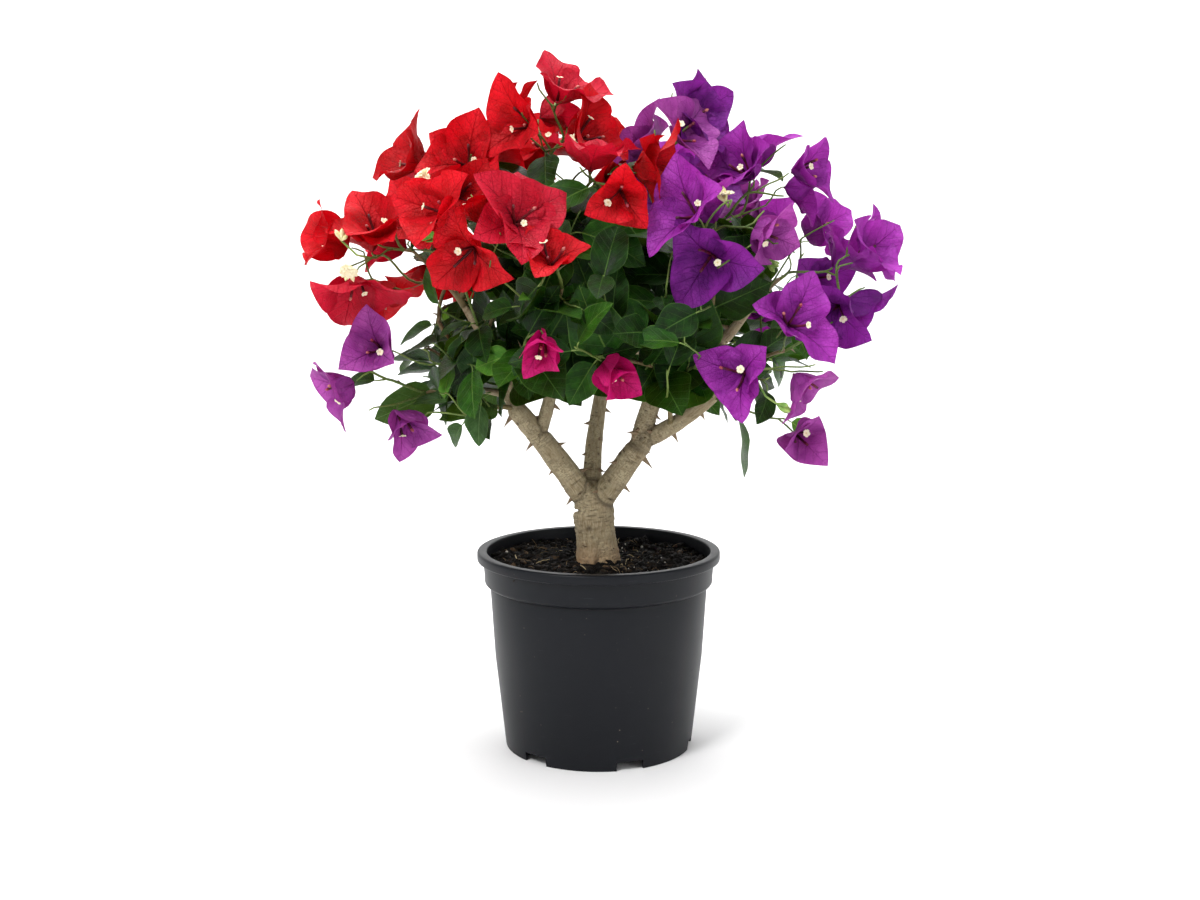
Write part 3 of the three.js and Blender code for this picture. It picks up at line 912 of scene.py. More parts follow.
def bark_material():
    material, tree = new_material("bark")
    place = tree.node("ShaderNodeAttribute", {"attribute_name": "on_limb"}, out=1)
    world = tree.node("ShaderNodeTexCoord", out=3)
    height = tree.node("ShaderNodeSeparateXYZ", None, {0: world}, 2)
    drawn = tree.node("ShaderNodeMapping", None, {"Vector": place, "Scale": (1.0, 1.0, 0.22)})
    crossed = tree.node("ShaderNodeMapping", None, {"Vector": place, "Scale": (0.30, 0.30, 1.0)})
    patches = tree.noise(place, 42.0, 4.0, 0.6)
    fibres = tree.noise(drawn, 900.0, 4.0, 0.65)
    rings = tree.noise(crossed, 650.0, 4.0, 0.7)
    spots = tree.node("ShaderNodeTexVoronoi", None, {"Vector": crossed, "Scale": 340.0, "Randomness": 1.0})
    spotted = (1.0 - spots.ramp(0.10, 0.24)) * tree.noise(place, 130.0, 2.0).ramp(0.50, 0.62)
    cracks = (1.0 - abs(rings - 0.5).ramp(0.0, 0.022)) * patches.ramp(0.44, 0.60)
    colour = tree.mix(patches.ramp(0.34, 0.68), paint(128, 112, 84), paint(180, 164, 130))
    colour = tree.mix(fibres.ramp(0.40, 0.72) * 0.55, colour, paint(186, 174, 146))
    colour = tree.mix((1.0 - fibres.ramp(0.26, 0.46)) * 0.60, colour, paint(92, 78, 56))
    greened = tree.noise(world, 17.0, 2.0).ramp(0.60, 0.74) * 0.35
    colour = tree.mix(greened, colour, paint(110, 118, 66))
    foot = 1.0 - height.ramp(trunk_low[2] - 0.002, trunk_low[2] + 0.022)
    colour = tree.mix(foot * 0.5, colour, paint(146, 104, 70))
    colour = tree.mix(spotted * 0.9, colour, paint(70, 52, 36))
    colour = tree.mix(cracks * 0.8, colour, paint(60, 46, 32))
    # Painted shade: the bark is darkened in its pits, wrinkles, cleft and seams, where shade falls.
    crease_shade_mask = tree.node("ShaderNodeAttribute", {"attribute_name": "creases"}, out=2)
    colour = tree.mix(crease_shade_mask * 0.85, colour, paint(58, 44, 30))
    relief = 0.5 * fibres + 0.5 * rings - 0.7 * cracks - 0.4 * spotted
    normal = tree.bump(relief, 0.0009, 0.9)
    finish_material(tree, colour, 0.78 + 0.12 * patches, normal)
    return material


bark = bark_skin()
carve_bark(bark)
bark.data.materials.append(bark_material())
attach(bark, "root")
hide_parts("trunk", "bough_left", "bough_left_shoot", "bough_middle", "bough_right",
            "bough_right_upper", "bough_right_side", "bough_right_fork", "bough_right_tip")


# Thorns are hard, curved spines on a broad foot of bark. The big ones stand on the lower boughs;
# small ones follow the twigs.

thorn_every = 2

def thorn(root, way, length, radius):
    """A spine from root along way, hooked a little downward."""
    t = np.linspace(0, 1, 7)[:, None]
    line = root + way * length * t + np.array([0, 0, -0.10 * length]) * t**2
    shape = (1 - t[:, 0]) ** 1.25
    return tube(line, radius * (0.12 * (1 - t[:, 0]) + 0.88 * shape) + 0.00006, 9)


def thorn_material():
    material, tree = new_material("thorn")
    place = tree.node("ShaderNodeTexCoord", out=3)
    grain = tree.noise(place, 700.0, 3.0)
    patch = tree.noise(place, 90.0, 3.0)
    colour = tree.mix(patch, paint(92, 72, 54), paint(142, 120, 92))
    colour = tree.mix(grain.ramp(0.45, 0.7) * 0.5, colour, paint(168, 150, 120))
    finish_material(tree, colour, 0.55 + 0.2 * patch, tree.bump(grain, 0.0003, 0.6))
    return material


parts = []
for name in limb_names[1:]:
    for flip, i in enumerate(limb_numbers[name][::thorn_every]):
        side = unit(np.cross(stems.heading[i], (0.0, -1.0, 0.0))) * (-1) ** flip
        side = unit(side + (0, -0.35, 0) + 0.35 * chance.standard_normal(3))
        side = unit(side - stems.heading[i] * np.dot(side, stems.heading[i]))
        way = unit(side + (0, 0, -0.25))
        size = chance.uniform(0.003, 0.008) * (0.5 + stem_radius[i] / 0.010)
        root = stems.place[i] + side * stem_radius[i] * 0.80
        parts.append(thorn(root, way, size + stem_radius[i] * 0.25, 0.0013 + 0.13 * size))
thorny = np.flatnonzero((stem_radius < 0.0042) & (stem_radius > 0.0011) & (stems.limb == 0))
for i in chance.choice(thorny, 90, replace=False):
    side = unit(np.cross(stems.heading[i], chance.standard_normal(3)))
    way = unit(side + 0.35 * stems.heading[i])
    parts.append(thorn(stems.place[i] + side * stem_radius[i] * 0.6, way,
                       chance.uniform(0.004, 0.008), 0.0007 + 0.12 * stem_radius[i]))
points, faces = join(parts)
thorns = mesh_piece("thorns", points, faces, thorn_material())
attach(thorns, "root")


# Twigs are this year's shoots: brown where they leave the boughs, and green and downy near the
# leaves and blooms.

green_below = 0.00125


def twig_parts(keep, sides):
    parts = []
    for chain in stem_chains(keep):
        line, radii = stems.place[chain], stem_radius[chain].copy()
        radii[0] = min(radii[0], radii[1] * 1.2)
        radii[-1] *= 0.8
        parts.append(tube(line, radii, sides))
    return join(parts)


def twig_material(name, dark, light, tip):
    material, tree = new_material(name)
    place = tree.node("ShaderNodeTexCoord", out=3)
    patch = tree.noise(place, 55.0, 3.0)
    fine = tree.noise(place, 620.0, 3.0)
    colour = tree.mix(patch.ramp(0.35, 0.65), dark, light)
    colour = tree.mix(fine.ramp(0.5, 0.7) * 0.5, colour, tip)
    finish_material(tree, colour, 0.62 + 0.15 * fine, tree.bump(fine, 0.0002, 0.5))
    return material


thin = stem_radius <= bark_least
points, faces = twig_parts(thin & (stem_radius > green_below), 7)
brown_twigs = mesh_piece("brown_twigs", points, faces,
                         twig_material("brown_twig", paint(92, 80, 48), paint(130, 116, 80),
                                       paint(150, 138, 104)))
points, faces = twig_parts(thin & (stem_radius <= green_below), 6)
green_twigs = mesh_piece("green_twigs", points, faces,
                         twig_material("green_twig", paint(72, 96, 40), paint(104, 124, 56),
                                       paint(140, 150, 84)))
for piece in (brown_twigs, green_twigs):
    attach(piece, "root")


# Leaves are broad, pointed blades on short stalks, glossy and dark, with a pale midrib, curved
# side veins and a painted highlight along the thin edge. They stand one by one round each shoot; the
# youngest are bright.

leaf_outline = (0.62, 0.92)


def outline_width(s, outline):
    """Share of the full width at s of the length, 0 at both ends."""
    low, high = outline
    top = low / (low + high)
    return s**low * (1 - s) ** high / (top**low * (1 - top) ** high)


def blades(base, along, normal, length, half_width, pitch, curl, fold, ruffle, outline, rows, columns):
    """Many blades at once. Each grows from base along a heading, in the plane of along and normal,
    whose pitch goes from pitch[:, 0] to pitch[:, 1]; curl (start, end) and fold bend it across."""
    count = len(base)
    normal = unit(normal - along * (normal * along).sum(axis=1)[:, None])
    across = np.cross(normal, along)
    fine = np.linspace(0, 1, 61)
    turn = pitch[:, :1] + (pitch[:, 1:2] - pitch[:, :1]) * fine**0.8
    ahead = np.concatenate([np.zeros((count, 1)), np.cumsum(np.cos(turn[:, 1:]), axis=1)], axis=1) / 60
    risen = np.concatenate([np.zeros((count, 1)), np.cumsum(np.sin(turn[:, 1:]), axis=1)], axis=1) / 60
    s = np.linspace(0, 1, rows + 1)[1:-1] ** 1.15
    pick = np.round(s * 60).astype(int)
    s = fine[pick]
    t = np.linspace(-1, 1, columns)
    uneven = ruffle[:, 1][:, None, None] * 1.7 + np.where(t > 0, 1.3, 0.0)
    uneven = 1 + 0.07 * np.sin(2 * math.pi * 1.6 * s[:, None] + uneven)
    width = outline_width(s, outline)[:, None] * half_width[:, None, None] * uneven
    curve = (curl[:, :1] + (curl[:, 1:2] - curl[:, :1]) * s)[:, :, None]
    curve = np.where(np.abs(curve) < 0.02, 0.02, curve)
    sideways = width * np.sin(curve * t) / curve
    lift = width * (1 - np.cos(curve * t)) / curve
    lift = lift + width * fold[:, None, None] * (np.sqrt(t**2 + 0.03) - math.sqrt(0.03))
    phase = ruffle[:, 1][:, None, None] + np.where(t > 0, 2.1, 0.0)
    wave = np.sin(2 * math.pi * ruffle[:, 2][:, None, None] * s[:, None] + phase)
    ruffled = ruffle[:, 0][:, None, None] * half_width[:, None, None] * wave
    lift = lift + ruffled * t**2 * np.sin(math.pi * s)[:, None]
    pitch_here = turn[:, pick][:, :, None]
    forward = ahead[:, pick][:, :, None] * length[:, None, None] - lift * np.sin(pitch_here)
    upward = risen[:, pick][:, :, None] * length[:, None, None] + lift * np.cos(pitch_here)
    grid = (base[:, None, None] + forward[..., None] * along[:, None, None]
            + upward[..., None] * normal[:, None, None] + sideways[..., None] * across[:, None, None])
    tip = base + (ahead[:, -1:] * along + risen[:, -1:] * normal) * length[:, None]
    points = np.concatenate([base[:, None], grid.reshape(count, -1, 3), tip[:, None]], axis=1)
    flat_u = np.concatenate([[0.0], np.repeat(s, columns), [1.0]])
    flat_v = (outline_width(s, outline)[:, None] * t * 0.5 + 0.5).ravel()
    flat = np.stack([flat_u, np.concatenate([[0.5], flat_v, [0.5]])], axis=1)
    row, place = np.meshgrid(np.arange(rows - 2), np.arange(columns - 1), indexing="ij")
    corner = 1 + row * columns + place
    quads = np.stack([corner, corner + columns, corner + columns + 1, corner + 1], axis=-1).reshape(-1, 4)
    strip = np.arange(columns - 1)
    last = 1 + (rows - 2) * columns
    start_fan = np.stack([np.zeros(columns - 1, dtype=int), 1 + strip, 2 + strip], axis=1)
    end_fan = np.stack([last + strip + 1, last + strip, np.full(columns - 1, last + columns)], axis=1)
    fans = np.concatenate([start_fan, end_fan])
    shift = (np.arange(count) * points.shape[1])[:, None, None]
    uv = np.tile(flat, (count, 1))
    return points.reshape(-1, 3), [(quads + shift).reshape(-1, 4), (fans + shift).reshape(-1, 3)], uv


def leaf_material(name, blade, deep, rib, edge, gloss, glow):
    material, tree = new_material(name)
    spread = tree.node("ShaderNodeUVMap", {"uv_map": "OFBake"})
    u = tree.node("ShaderNodeSeparateXYZ", None, {0: spread}, 0)
    v = tree.node("ShaderNodeSeparateXYZ", None, {0: spread}, 1)
    side = abs(v - 0.5) * 2.0
    midrib = 1.0 - (side + 0.025 * u).ramp(0.022, 0.046)
    branch = tree.math("FRACT", u * 6.0 - side * 1.9 + 0.35)
    vein = abs(branch - 0.5).ramp(0.425, 0.49) * (1.0 - side * 0.55)
    low, high = leaf_outline
    top = low / (low + high)
    peak = top**low * (1 - top) ** high
    width = tree.math("POWER", u, low) * tree.math("POWER", 1.0 - u, high) * (1.0 / peak)
    # Painted highlight: a thin band along the blade's edge is lightened toward the edge colour.
    rim = tree.math("DIVIDE", side, width + 0.01).ramp(0.93, 0.985)
    cloud = tree.noise(spread, 4.0, 3.0)
    net = tree.node("ShaderNodeTexVoronoi", {"feature": "DISTANCE_TO_EDGE"},
                    {"Vector": spread, "Scale": 26.0})
    meshed = 1.0 - net.ramp(0.0, 0.10)
    colour = tree.mix(cloud.ramp(0.35, 0.68), deep, blade)
    colour = tree.mix(meshed * 0.07, colour, rib)
    colour = tree.mix(vein * 0.17, colour, rib)
    colour = tree.mix(midrib * 0.62, colour, rib)
    colour = tree.mix(rim * 0.50, colour, edge)
    relief = 0.9 * midrib - 0.7 * vein - 0.15 * meshed + 0.15 * cloud
    normal = tree.bump(relief, 0.0009, 0.55)
    roughness = gloss + 0.16 * cloud + 0.1 * midrib
    finish_material(tree, colour, roughness, normal, {"Specular IOR Level": 0.17},
                    (glow, paint(120, 160, 40)))
    return material


# Each tint: blade, deep part of the blade, midrib and veins, edge (a painted highlight), roughness, and
# glow-through.
# The greyish tint of the low leaves on the left is a painted sheen.
leaf_tints = {
    "dark": (paint(22, 56, 13), paint(8, 30, 5), paint(84, 120, 56), paint(88, 126, 60), 0.30, 0.05),
    "mid": (paint(38, 82, 22), paint(20, 54, 14), paint(106, 142, 66), paint(110, 146, 70), 0.30, 0.09),
    # Painted sheen: this tint's greyish blade and deep colours paint the sheen on the low leaves on the
    # left.
    "pale": (paint(56, 86, 48), paint(34, 62, 30), paint(116, 144, 92), paint(124, 150, 100), 0.38, 0.10),
    "young": (paint(78, 128, 42), paint(54, 102, 30), paint(146, 176, 86), paint(150, 178, 92), 0.36, 0.18)}

leaf_rows = []


def add_leaf(tint, base, along, normal, length, half_width, bend, fold):
    leaf_rows.append((tint, base, unit(along), unit(normal), length, half_width, bend, fold))


stalk_parts = []


def add_stalk(joint, base, heading):
    middle = (joint + base) / 2 + unit(heading) * np.linalg.norm(base - joint) * 0.14
    stalk_parts.append(tube([joint, middle, base], [0.00075, 0.0006, 0.0005], 5))


bloom_places = np.array([place for _, place, *_ in blooms])
bloom_axes = np.array([axis for _, _, axis, *_ in blooms])
bloom_sizes = np.array([size for *_, size, _ in blooms])
bloom_faces_front = bloom_axes[:, 1] < 0.2
leaf_limit_high = 0.95
leaf_limit_low = 1.20


def in_the_way(base, along, length):
    """True where a leaf would cover a bloom, stand outside the masses or hang below the crown."""
    for share in (0.35, 0.7, 1.0):
        point = base + along * length * share
        way = point - bloom_places
        ahead = (way * bloom_axes).sum(axis=1)
        beside = np.linalg.norm(way - bloom_axes * ahead[:, None], axis=1)
        if ((ahead > 0.004) & (ahead < 0.075) & (beside < bloom_sizes * 0.80)).any():
            return True
        shown = np.linalg.norm(way[:, [0, 2]], axis=1)
        before = (way[:, 1] < -0.003) & (way[:, 1] > -0.085) & bloom_faces_front
        if (before & (shown < bloom_sizes * 0.70)).any():
            return True
        high = point[2] > crown_middle[2]
        deep = high and np.linalg.norm((point - crown_middle) / crown_half) < 0.80
        limit = leaf_limit_high if high else leaf_limit_low
        if share > 0.5 and not deep and mass_depth([point]).min() > limit:
            return True
        skirt = 0.20 if -0.25 < point[0] / crown_half[0] < 0.40 else 0.04
        if point[2] < crown_low[2] + skirt * 2 * crown_half[2]:
            return True
        if (np.abs(point - crown_middle) > crown_half + 0.004).any():
            return True
    return False


clothed = set()


def clothe(shoot, first, spacing, most, big, near_tip):
    """Leaves round a shoot, from its tip back: first and spacing along it, at most so many."""
    chain, i = [], int(shoot[-1])
    while i >= 0 and i not in clothed and stems.limb[i] == 0 and len(chain) < 14:
        chain.append(i)
        clothed.add(i)
        i = int(stems.parent[i])
    if len(chain) < 3:
        return
    line = stems.place[chain]
    gaps = np.linalg.norm(np.diff(line, axis=0), axis=1)
    reach = np.concatenate([[0], np.cumsum(gaps)])
    turn = chance.random() * 2 * math.pi
    at, made = first, 0
    while at < reach[-1] - 0.004 and made < most:
        k = int(np.searchsorted(reach, at)) - 1
        k = max(0, min(k, len(gaps) - 1))
        place = line[k] + (line[k + 1] - line[k]) * (at - reach[k]) / max(gaps[k], 1e-6)
        heading = unit(line[k] - line[k + 1])
        side = unit(np.cross(heading, (0.3, 0.5, 0.81)))
        other = np.cross(heading, side)
        for _ in range(3):
            radial = math.cos(turn) * side + math.sin(turn) * other
            outward = unit(place - crown_heart)
            along = unit(radial + 0.55 * heading + 0.35 * outward + (0, 0, -0.30)
                         + 0.18 * chance.standard_normal(3))
            grown = min(1.0, near_tip + 0.22 * made)
            length = big * grown * chance.uniform(0.86, 1.12)
            base = place + unit(along + 0.5 * heading) * leaf_hold * (0.5 + 0.5 * grown)
            if not in_the_way(base, along, length):
                normal = outward * 0.9 + (0, -0.15, 0.75) + 0.30 * chance.standard_normal(3)
                low = place[2] < crown_middle[2] - 0.45 * crown_half[2]
                odds = chance.random()
                tint = "dark" if odds < 0.62 else "mid"
                if (grown < 0.6 and odds > 0.82) or odds > 0.985:
                    tint = "young"
                elif low and place[0] < 0 and odds > 0.45:
                    # Low leaves on the left take the greyish tint, a painted sheen.
                    tint = "pale"
                add_stalk(place, base, heading)
                half_width = length * chance.uniform(0.29, 0.36)
                bend = (chance.uniform(0.0, 0.2), -chance.uniform(0.15, 0.6))
                add_leaf(tint, base, along, normal, length, half_width, bend,
                         chance.uniform(0.12, 0.34))
                break
            turn += 1.3
        turn += math.radians(137.5)
        at += spacing * chance.uniform(0.85, 1.2)
        made += 1


for shoot in leafy_shoots:
    clothe(shoot, 0.001, 0.0085, 11, 0.054, 0.52)
for shoot in bloom_shoots.values():
    clothe(shoot, 0.013, 0.0085, 9, 0.050, 0.60)

for tint, (blade, deep, rib, edge, gloss, glow) in leaf_tints.items():
    rows = [row for row in leaf_rows if row[0] == tint]
    count = len(rows)
    base, along, normal, length, half, pitch = [np.array([row[i] for row in rows]) for i in range(1, 7)]
    fold = np.array([row[7] for row in rows])
    ruffle = np.stack([chance.uniform(0.02, 0.11, count), chance.uniform(0, 6.28, count),
                       chance.uniform(1.2, 2.4, count)], axis=1)
    curl = np.stack([chance.uniform(0.1, 0.5, count), chance.uniform(-0.3, 0.2, count)], axis=1)
    points, faces, uv = blades(base, along, normal, length, half, pitch, curl, fold, ruffle,
                               leaf_outline, 11, 5)
    leaves = mesh_piece(f"leaves_{tint}", points, faces,
                        leaf_material(f"leaf_{tint}", blade, deep, rib, edge, gloss, glow), uv=uv)
    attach(leaves, "root")
    "young_leaf" if tint == "young" else "leaf"
    if tint == "dark":
        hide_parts(*[name for name in mass_names if name.startswith("leaves_")])
points, faces = join(stalk_parts)
stalks = mesh_piece("leaf_stalks", points, faces,
                    twig_material("leaf_stalk", paint(84, 112, 50), paint(116, 138, 66),
                                  paint(150, 164, 92)))
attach(stalks, "root")


# A bloom is three papery bracts round three thin tubes. The bracts are broad, pointed and ruffled,
# cupped at the foot, with painted shade darkening the throat, a midrib and a net of fine veins.

bract_outline = (0.50, 0.98)


def bract_material(name, light, deep, vein, through):
    material, tree = new_material(name)
    spread = tree.node("ShaderNodeUVMap", {"uv_map": "OFBake"})
    u = tree.node("ShaderNodeSeparateXYZ", None, {0: spread}, 0)
    v = tree.node("ShaderNodeSeparateXYZ", None, {0: spread}, 1)
    side = abs(v - 0.5) * 2.0
    midrib = 1.0 - (side + 0.030 * u).ramp(0.012, 0.046)
    wander = tree.noise(spread, 5.0, 2.0)
    course = u * 4.6 - side * 2.5 + wander * 0.35
    branch = tree.math("FRACT", course)
    ribs = abs(branch - 0.5).ramp(0.43, 0.495) * (1.0 - side * 0.7) * u.ramp(0.04, 0.16)
    net = tree.node("ShaderNodeTexVoronoi", {"feature": "DISTANCE_TO_EDGE"},
                    {"Vector": spread, "Scale": 17.0})
    meshed = 1.0 - net.ramp(0.0, 0.07)
    cloud = tree.noise(spread, 2.6, 3.0)
    low, high = bract_outline
    top = low / (low + high)
    peak = top**low * (1 - top) ** high
    width = tree.math("POWER", u, low) * tree.math("POWER", 1.0 - u, high) * (1.0 / peak)
    rim = tree.math("DIVIDE", side, width + 0.01).ramp(0.90, 1.0)
    # Painted shade: the foot of each bract, deep in the cup, is darkened toward the deep colour.
    throat_shade = 1.0 - (u + side * 0.12).ramp(0.02, 0.34)
    colour = tree.mix(cloud.ramp(0.30, 0.72), deep, light)
    colour = tree.mix(throat_shade * 0.85, colour, deep)
    colour = tree.mix(meshed * 0.18, colour, vein)
    colour = tree.mix(ribs * 0.40, colour, vein)
    colour = tree.mix(midrib * 0.80, colour, vein)
    colour = tree.mix(rim * 0.38, colour, vein)
    relief = 0.6 * cloud - 0.8 * midrib - 0.55 * ribs - 0.3 * meshed
    normal = tree.bump(relief, 0.0014, 0.8)
    roughness = 0.52 + 0.12 * cloud
    finish_material(tree, colour, roughness, normal, {"Specular IOR Level": 0.22}, (0.26, through))
    return material


# Each tint: light and deep colour, veins, light through the bract, and slot.
bract_tints = {
    "red": (paint(220, 18, 38), paint(164, 0, 14),
            paint(118, 0, 16), paint(236, 16, 30), "red_bract"),
    "ruby": (paint(200, 8, 28), paint(146, 0, 12),
             paint(100, 0, 14), paint(216, 8, 24), "red_bract"),
    "rose": (paint(206, 34, 60), paint(166, 10, 38),
             paint(120, 4, 30), paint(220, 24, 50), "red_bract"),
    "magenta": (paint(212, 34, 120), paint(172, 8, 88),
                paint(128, 4, 66), paint(222, 20, 120), "magenta_bract"),
    "purple": (paint(168, 62, 176), paint(122, 30, 132),
               paint(74, 10, 78), paint(184, 50, 176), "purple_bract"),
    "deep": (paint(134, 44, 150), paint(94, 24, 112),
             paint(66, 12, 80), paint(146, 36, 150), "purple_bract"),
    "lilac": (paint(174, 84, 170), paint(134, 50, 134),
              paint(98, 28, 98), paint(186, 72, 168), "purple_bract")}
tube_length = 0.019
bract_rows = {tint: [] for tint in bract_tints}
tube_parts, star_rows, bud_parts = [], [], []


for number, (tint, place, axis, roll, size, wide) in enumerate(blooms):
    level, aside = bloom_frame(axis)
    opened = int(chance.integers(3))
    doubled = any(np.linalg.norm(place - before) < 0.012 for _, before, *_ in blooms[:number])
    for k in range(3):
        turn = math.radians(roll + 120 * k) + 0.10 * chance.standard_normal()
        radial = math.cos(turn) * level + math.sin(turn) * aside
        open_here = wide + 5 * chance.standard_normal()
        first = 90 - max(6, open_here - chance.uniform(26, 36))
        last = 90 - min(118, open_here + chance.uniform(16, 34) * min(1.0, wide / 30))
        bract_rows[tint].append((place + radial * 0.0006, radial, axis, size * chance.uniform(0.95, 1.06),
                                 size * chance.uniform(0.42, 0.49),
                                 (math.radians(first), math.radians(last)),
                                 (chance.uniform(0.9, 1.3), chance.uniform(-0.15, 0.35)),
                                 chance.uniform(0.08, 0.34)))
        if doubled:
            continue
        lean = math.radians(max(8, min(32, wide * 0.48)) + 4 * chance.standard_normal())
        way = math.cos(lean) * axis + math.sin(lean) * radial
        long = tube_length * chance.uniform(0.9, 1.08) * min(1.0, size / 0.038)
        t = np.linspace(0, 1, 7)
        line = place + np.outer(t, way) * long + np.outer(np.sin(math.pi * t) * 0.0008, radial)
        radii = np.interp(t, [0, 0.15, 0.45, 0.62, 0.92, 1], [0.7, 1.25, 1.15, 0.85, 1.25, 1.0])
        tube_parts.append((tint, tube(line, radii * 0.001, 6)))
        if k == opened:
            star_rows.append((line[-1] + way * 0.0007, way, chance.uniform(0.0026, 0.0032), 5))
        elif chance.random() < 0.75:
            bud = tube([line[-1] - way * 0.0004, line[-1] + way * 0.0010, line[-1] + way * 0.0022],
                       [0.0011, 0.0012, 0.0005], 6)
            bud_parts.append(bud)

for tint, (light, deep, vein, through, slot) in bract_tints.items():
    rows = bract_rows[tint]
    count = len(rows)
    if not count:
        continue
    base, radial, axis, length, half, pitch, curl = [np.array([row[i] for row in rows]) for i in range(7)]
    fold = np.array([row[7] for row in rows])
    ruffle = np.stack([chance.uniform(0.10, 0.30, count), chance.uniform(0, 6.28, count),
                       chance.uniform(1.1, 2.1, count)], axis=1)
    points, faces, uv = blades(base, radial, axis, length, half, pitch, curl, fold, ruffle,
                               bract_outline, 17, 11)
    bracts = mesh_piece(f"bracts_{tint}", points, faces,
                        bract_material(f"bract_{tint}", light, deep, vein, through), uv=uv)
    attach(bracts, "root")
    if tint in ("red", "purple"):
        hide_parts(*[name for name in mass_names if name.startswith(tint)])


# The true flowers are slender maroon tubes, one to each bract. One in three is open, with a small
# cream star of five ruffled lobes; the others end in a closed pink tip.

def tube_material(name, dark, light):
    material, tree = new_material(name)
    place = tree.node("ShaderNodeTexCoord", out=3)
    patch = tree.noise(place, 160.0, 3.0)
    fine = tree.noise(place, 1500.0, 2.0)
    colour = tree.mix(patch.ramp(0.35, 0.7), dark, light)
    finish_material(tree, colour, 0.5 + 0.15 * patch, tree.bump(fine, 0.0001, 0.4))
    return material


def star_mesh(centre, way, radius, lobes, turn):
    """A small star: a cupped disc whose edge is a ring of notched lobes."""
    level, aside = bloom_frame(way)
    around = 6 * lobes
    angle = np.linspace(0, 2 * math.pi, around, endpoint=False)
    petal = np.abs(np.cos(lobes / 2 * (angle + turn)))
    lobe = (0.68 + 0.32 * petal**0.6) * (1 - 0.10 * np.exp(-((petal - 1) ** 2) / 0.004))
    rings, shape = [], [(0.30, -0.10), (0.62, 0.05), (0.86, 0.16), (1.0, 0.10)]
    for share, lift in shape:
        reach = radius * share * (1 + (lobe - 1) * share**2)
        wave = radius * lift + radius * 0.09 * share * np.cos(lobes * (angle + turn))
        rings.append(centre + np.outer(reach * np.cos(angle), level) + np.outer(reach * np.sin(angle), aside)
                     + np.outer(wave, way))
    points = np.concatenate([np.concatenate(rings), [centre - way * radius * 0.05]])
    step = np.arange(around)
    fan = np.stack([step, (step + 1) % around, np.full(around, len(points) - 1)], axis=1)
    flat = [(0.5 + 0.5 * share * math.cos(a), 0.5 + 0.5 * share * math.sin(a))
            for share, _ in shape for a in angle]
    return points, [ring_quads(4, around)[:, ::-1], fan], np.array(flat + [(0.5, 0.5)])


def star_material():
    material, tree = new_material("cream_star")
    spread = tree.node("ShaderNodeUVMap", {"uv_map": "OFBake"})
    out = tree.node("ShaderNodeVectorMath", {"operation": "DISTANCE"}, {0: spread, 1: (0.5, 0.5, 0.0)}, 1)
    fine = tree.noise(spread, 14.0, 3.0)
    colour = tree.mix(out.ramp(0.02, 0.20), paint(228, 208, 128), paint(252, 244, 214))
    colour = tree.mix(fine.ramp(0.45, 0.7) * 0.4, colour, paint(236, 218, 168))
    finish_material(tree, colour, 0.55 + 0.1 * fine, tree.bump(fine, 0.0003, 0.5), None,
                    (0.2, paint(250, 240, 200)))
    return material


for family, dark, light in (("red", paint(62, 4, 14), paint(108, 10, 24)),
                            ("purple", paint(60, 6, 34), paint(104, 18, 52))):
    warm = ("red", "ruby", "rose", "magenta")
    chosen = [part for tint, part in tube_parts if (tint in warm) == (family == "red")]
    points, faces = join(chosen)
    tubes = mesh_piece(f"flower_tubes_{family}", points, faces,
                       tube_material(f"{family}_tube", dark, light))
    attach(tubes, "root")

# Clusters of open stars, of cream buds and of green buds stand on their own stalks beside blooms.
cluster_kinds = ["stars", "buds", "stars", "cream"] * 5
cream_buds, green_buds = [], []
for kind, number in zip(cluster_kinds, chance.permutation(len(blooms))):
    _, beside, axis, *_ = blooms[number]
    place = beside + unit(np.cross(axis, chance.standard_normal(3))) * 0.026 + axis * 0.010
    start = stems.nearest(place, 0.1, 0.1)
    bend = (stems.place[start] + place) / 2 + (0, 0, -0.004)
    green_buds.append(tube([stems.place[start], bend, place], [0.0009, 0.0008, 0.0008], 6))
    for k in range(5 if kind == "stars" else 6):
        aim = unit(axis + (0, 0, 0.3) + 0.45 * chance.standard_normal(3))
        if kind == "stars" and k < 3:
            star_rows.append((place + aim * 0.0060, aim, 0.0064, 9))
            star_rows.append((place + aim * 0.0070, aim, 0.0042, 7))
            cream_buds.append(tube([place, place + aim * 0.0058], [0.0009, 0.0013], 6))
        else:
            long = chance.uniform(0.008, 0.013)
            t = np.linspace(0, 1, 6)
            shape = np.array([0.6, 0.9, 1.3, 1.8, 1.6, 0.3]) * 0.001
            store = green_buds if kind == "buds" else cream_buds
            store.append(tube(place + np.outer(t, aim) * long, shape, 7))

parts, flats = [], []
for place, way, radius, lobes in star_rows:
    points, faces, flat = star_mesh(place, unit(way), radius, lobes, chance.random() * 6.28)
    parts.append((points, faces))
    flats.append(flat)
points, faces = join(parts)
stars = mesh_piece("cream_stars", points, faces, star_material(), uv=np.concatenate(flats))
points, faces = join(bud_parts)
tips = mesh_piece("closed_tips", points, faces,
                  tube_material("pink_tip", paint(140, 44, 60), paint(204, 132, 116)))
points, faces = join(cream_buds)
cream = mesh_piece("cream_buds", points, faces,
                   tube_material("cream_bud", paint(214, 214, 140), paint(246, 240, 196)))
points, faces = join(green_buds)
green = mesh_piece("green_buds", points, faces,
                   tube_material("green_bud", paint(96, 136, 56), paint(160, 186, 98)))
for piece in (stars, tips, cream, green):
    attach(piece, "root")


# The studio is a pale floor that sweeps up behind, under soft light from above and both sides.

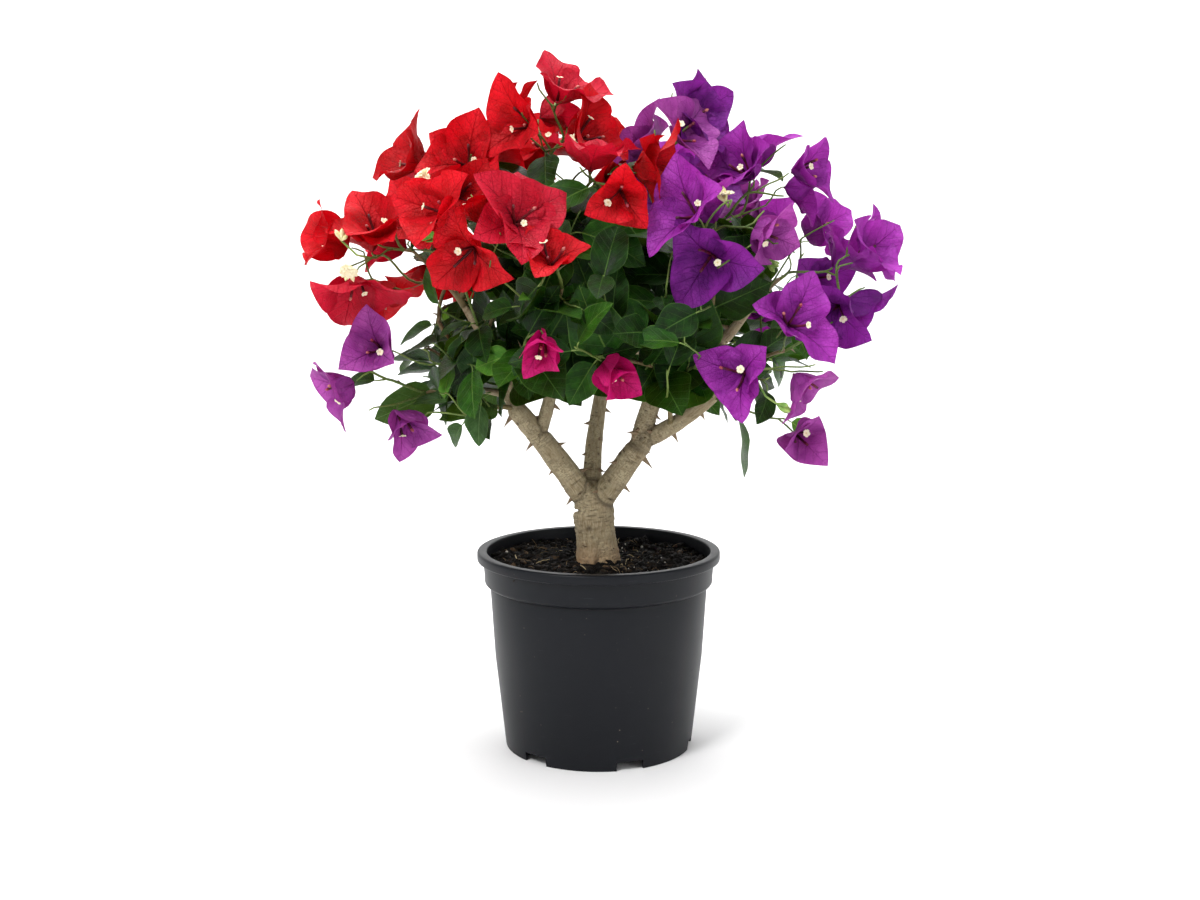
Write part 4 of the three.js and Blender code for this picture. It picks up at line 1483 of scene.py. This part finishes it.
def studio_floor():
    material, tree = new_material("studio_floor")
    place = tree.node("ShaderNodeTexCoord", out=3)
    cloud = tree.noise(place, 3.0, 2.0)
    colour = tree.mix(cloud, (0.86, 0.86, 0.86), (0.90, 0.90, 0.90))
    finish_material(tree, colour, 0.75 + 0.1 * cloud, tree.bump(cloud, 0.0002, 0.1))
    profile = [(-3.0, 0.0), (1.6, 0.0)]
    sweep = np.linspace(0.1, math.pi / 2, 10)
    profile += [(1.6 + 0.8 * math.sin(a), 0.8 - 0.8 * math.cos(a)) for a in sweep]
    profile += [(2.4, 3.4)]
    points = [(x, y, z) for y, z in profile for x in (-4.0, 4.0)]
    quads = np.array([[2 * i, 2 * i + 1, 2 * i + 3, 2 * i + 2] for i in range(len(profile) - 1)])
    return mesh_piece("studio_floor", points, [quads], material)


def soft_light(name, place, aim, size, power):
    lamp = bpy.data.lights.new(name, "AREA")
    lamp.shape = "DISK"
    lamp.size = size
    lamp.energy = power
    light = bpy.data.objects.new(name, lamp)
    light.location = place
    light.rotation_euler = (Vector(aim) - Vector(place)).to_track_quat("-Z", "Y").to_euler()
    bpy.context.scene.collection.objects.link(light)


studio_floor()
soft_light("key", (-1.0, -1.5, 1.9), (0, 0, 0.35), 0.8, 40)
soft_light("fill", (1.6, -1.2, 0.9), (0, 0, 0.3), 1.5, 10)
soft_light("top", (0.1, 0.1, 2.2), (0, 0, 0.2), 1.8, 30)
soft_light("backdrop", (0.0, 1.1, 2.6), (0, 2.2, 0.5), 2.0, 60)

world = bpy.data.worlds.new("studio")
world.use_nodes = True
world.node_tree.nodes.clear()
sky = Wire(world.node_tree)
rise = abs(sky.node("ShaderNodeSeparateXYZ", None, {0: sky.node("ShaderNodeTexCoord", out=0)}, 2))
strength = 0.50 + 0.45 * (1.0 - rise.ramp(0.10, 0.32))
light = sky.node("ShaderNodeBackground", None, {"Color": (1.0, 1.0, 1.0, 1.0), "Strength": strength})
output = world.node_tree.nodes.new("ShaderNodeOutputWorld")
world.node_tree.links.new(light.socket, output.inputs["Surface"])
bpy.context.scene.world = world
bpy.context.scene.view_settings.view_transform = "Standard"

eye = (0.0011, -1.2, 0.4128)
degrees_down = 8.47
lens = bpy.data.cameras.new("camera")
lens.sensor_width = 36.0
lens.lens = 46.86
camera = bpy.data.objects.new("camera", lens)
camera.location = eye
camera.rotation_euler = (math.radians(90 - degrees_down), 0.0, 0.0)
bpy.context.scene.collection.objects.link(camera)
bpy.context.scene.camera = camera
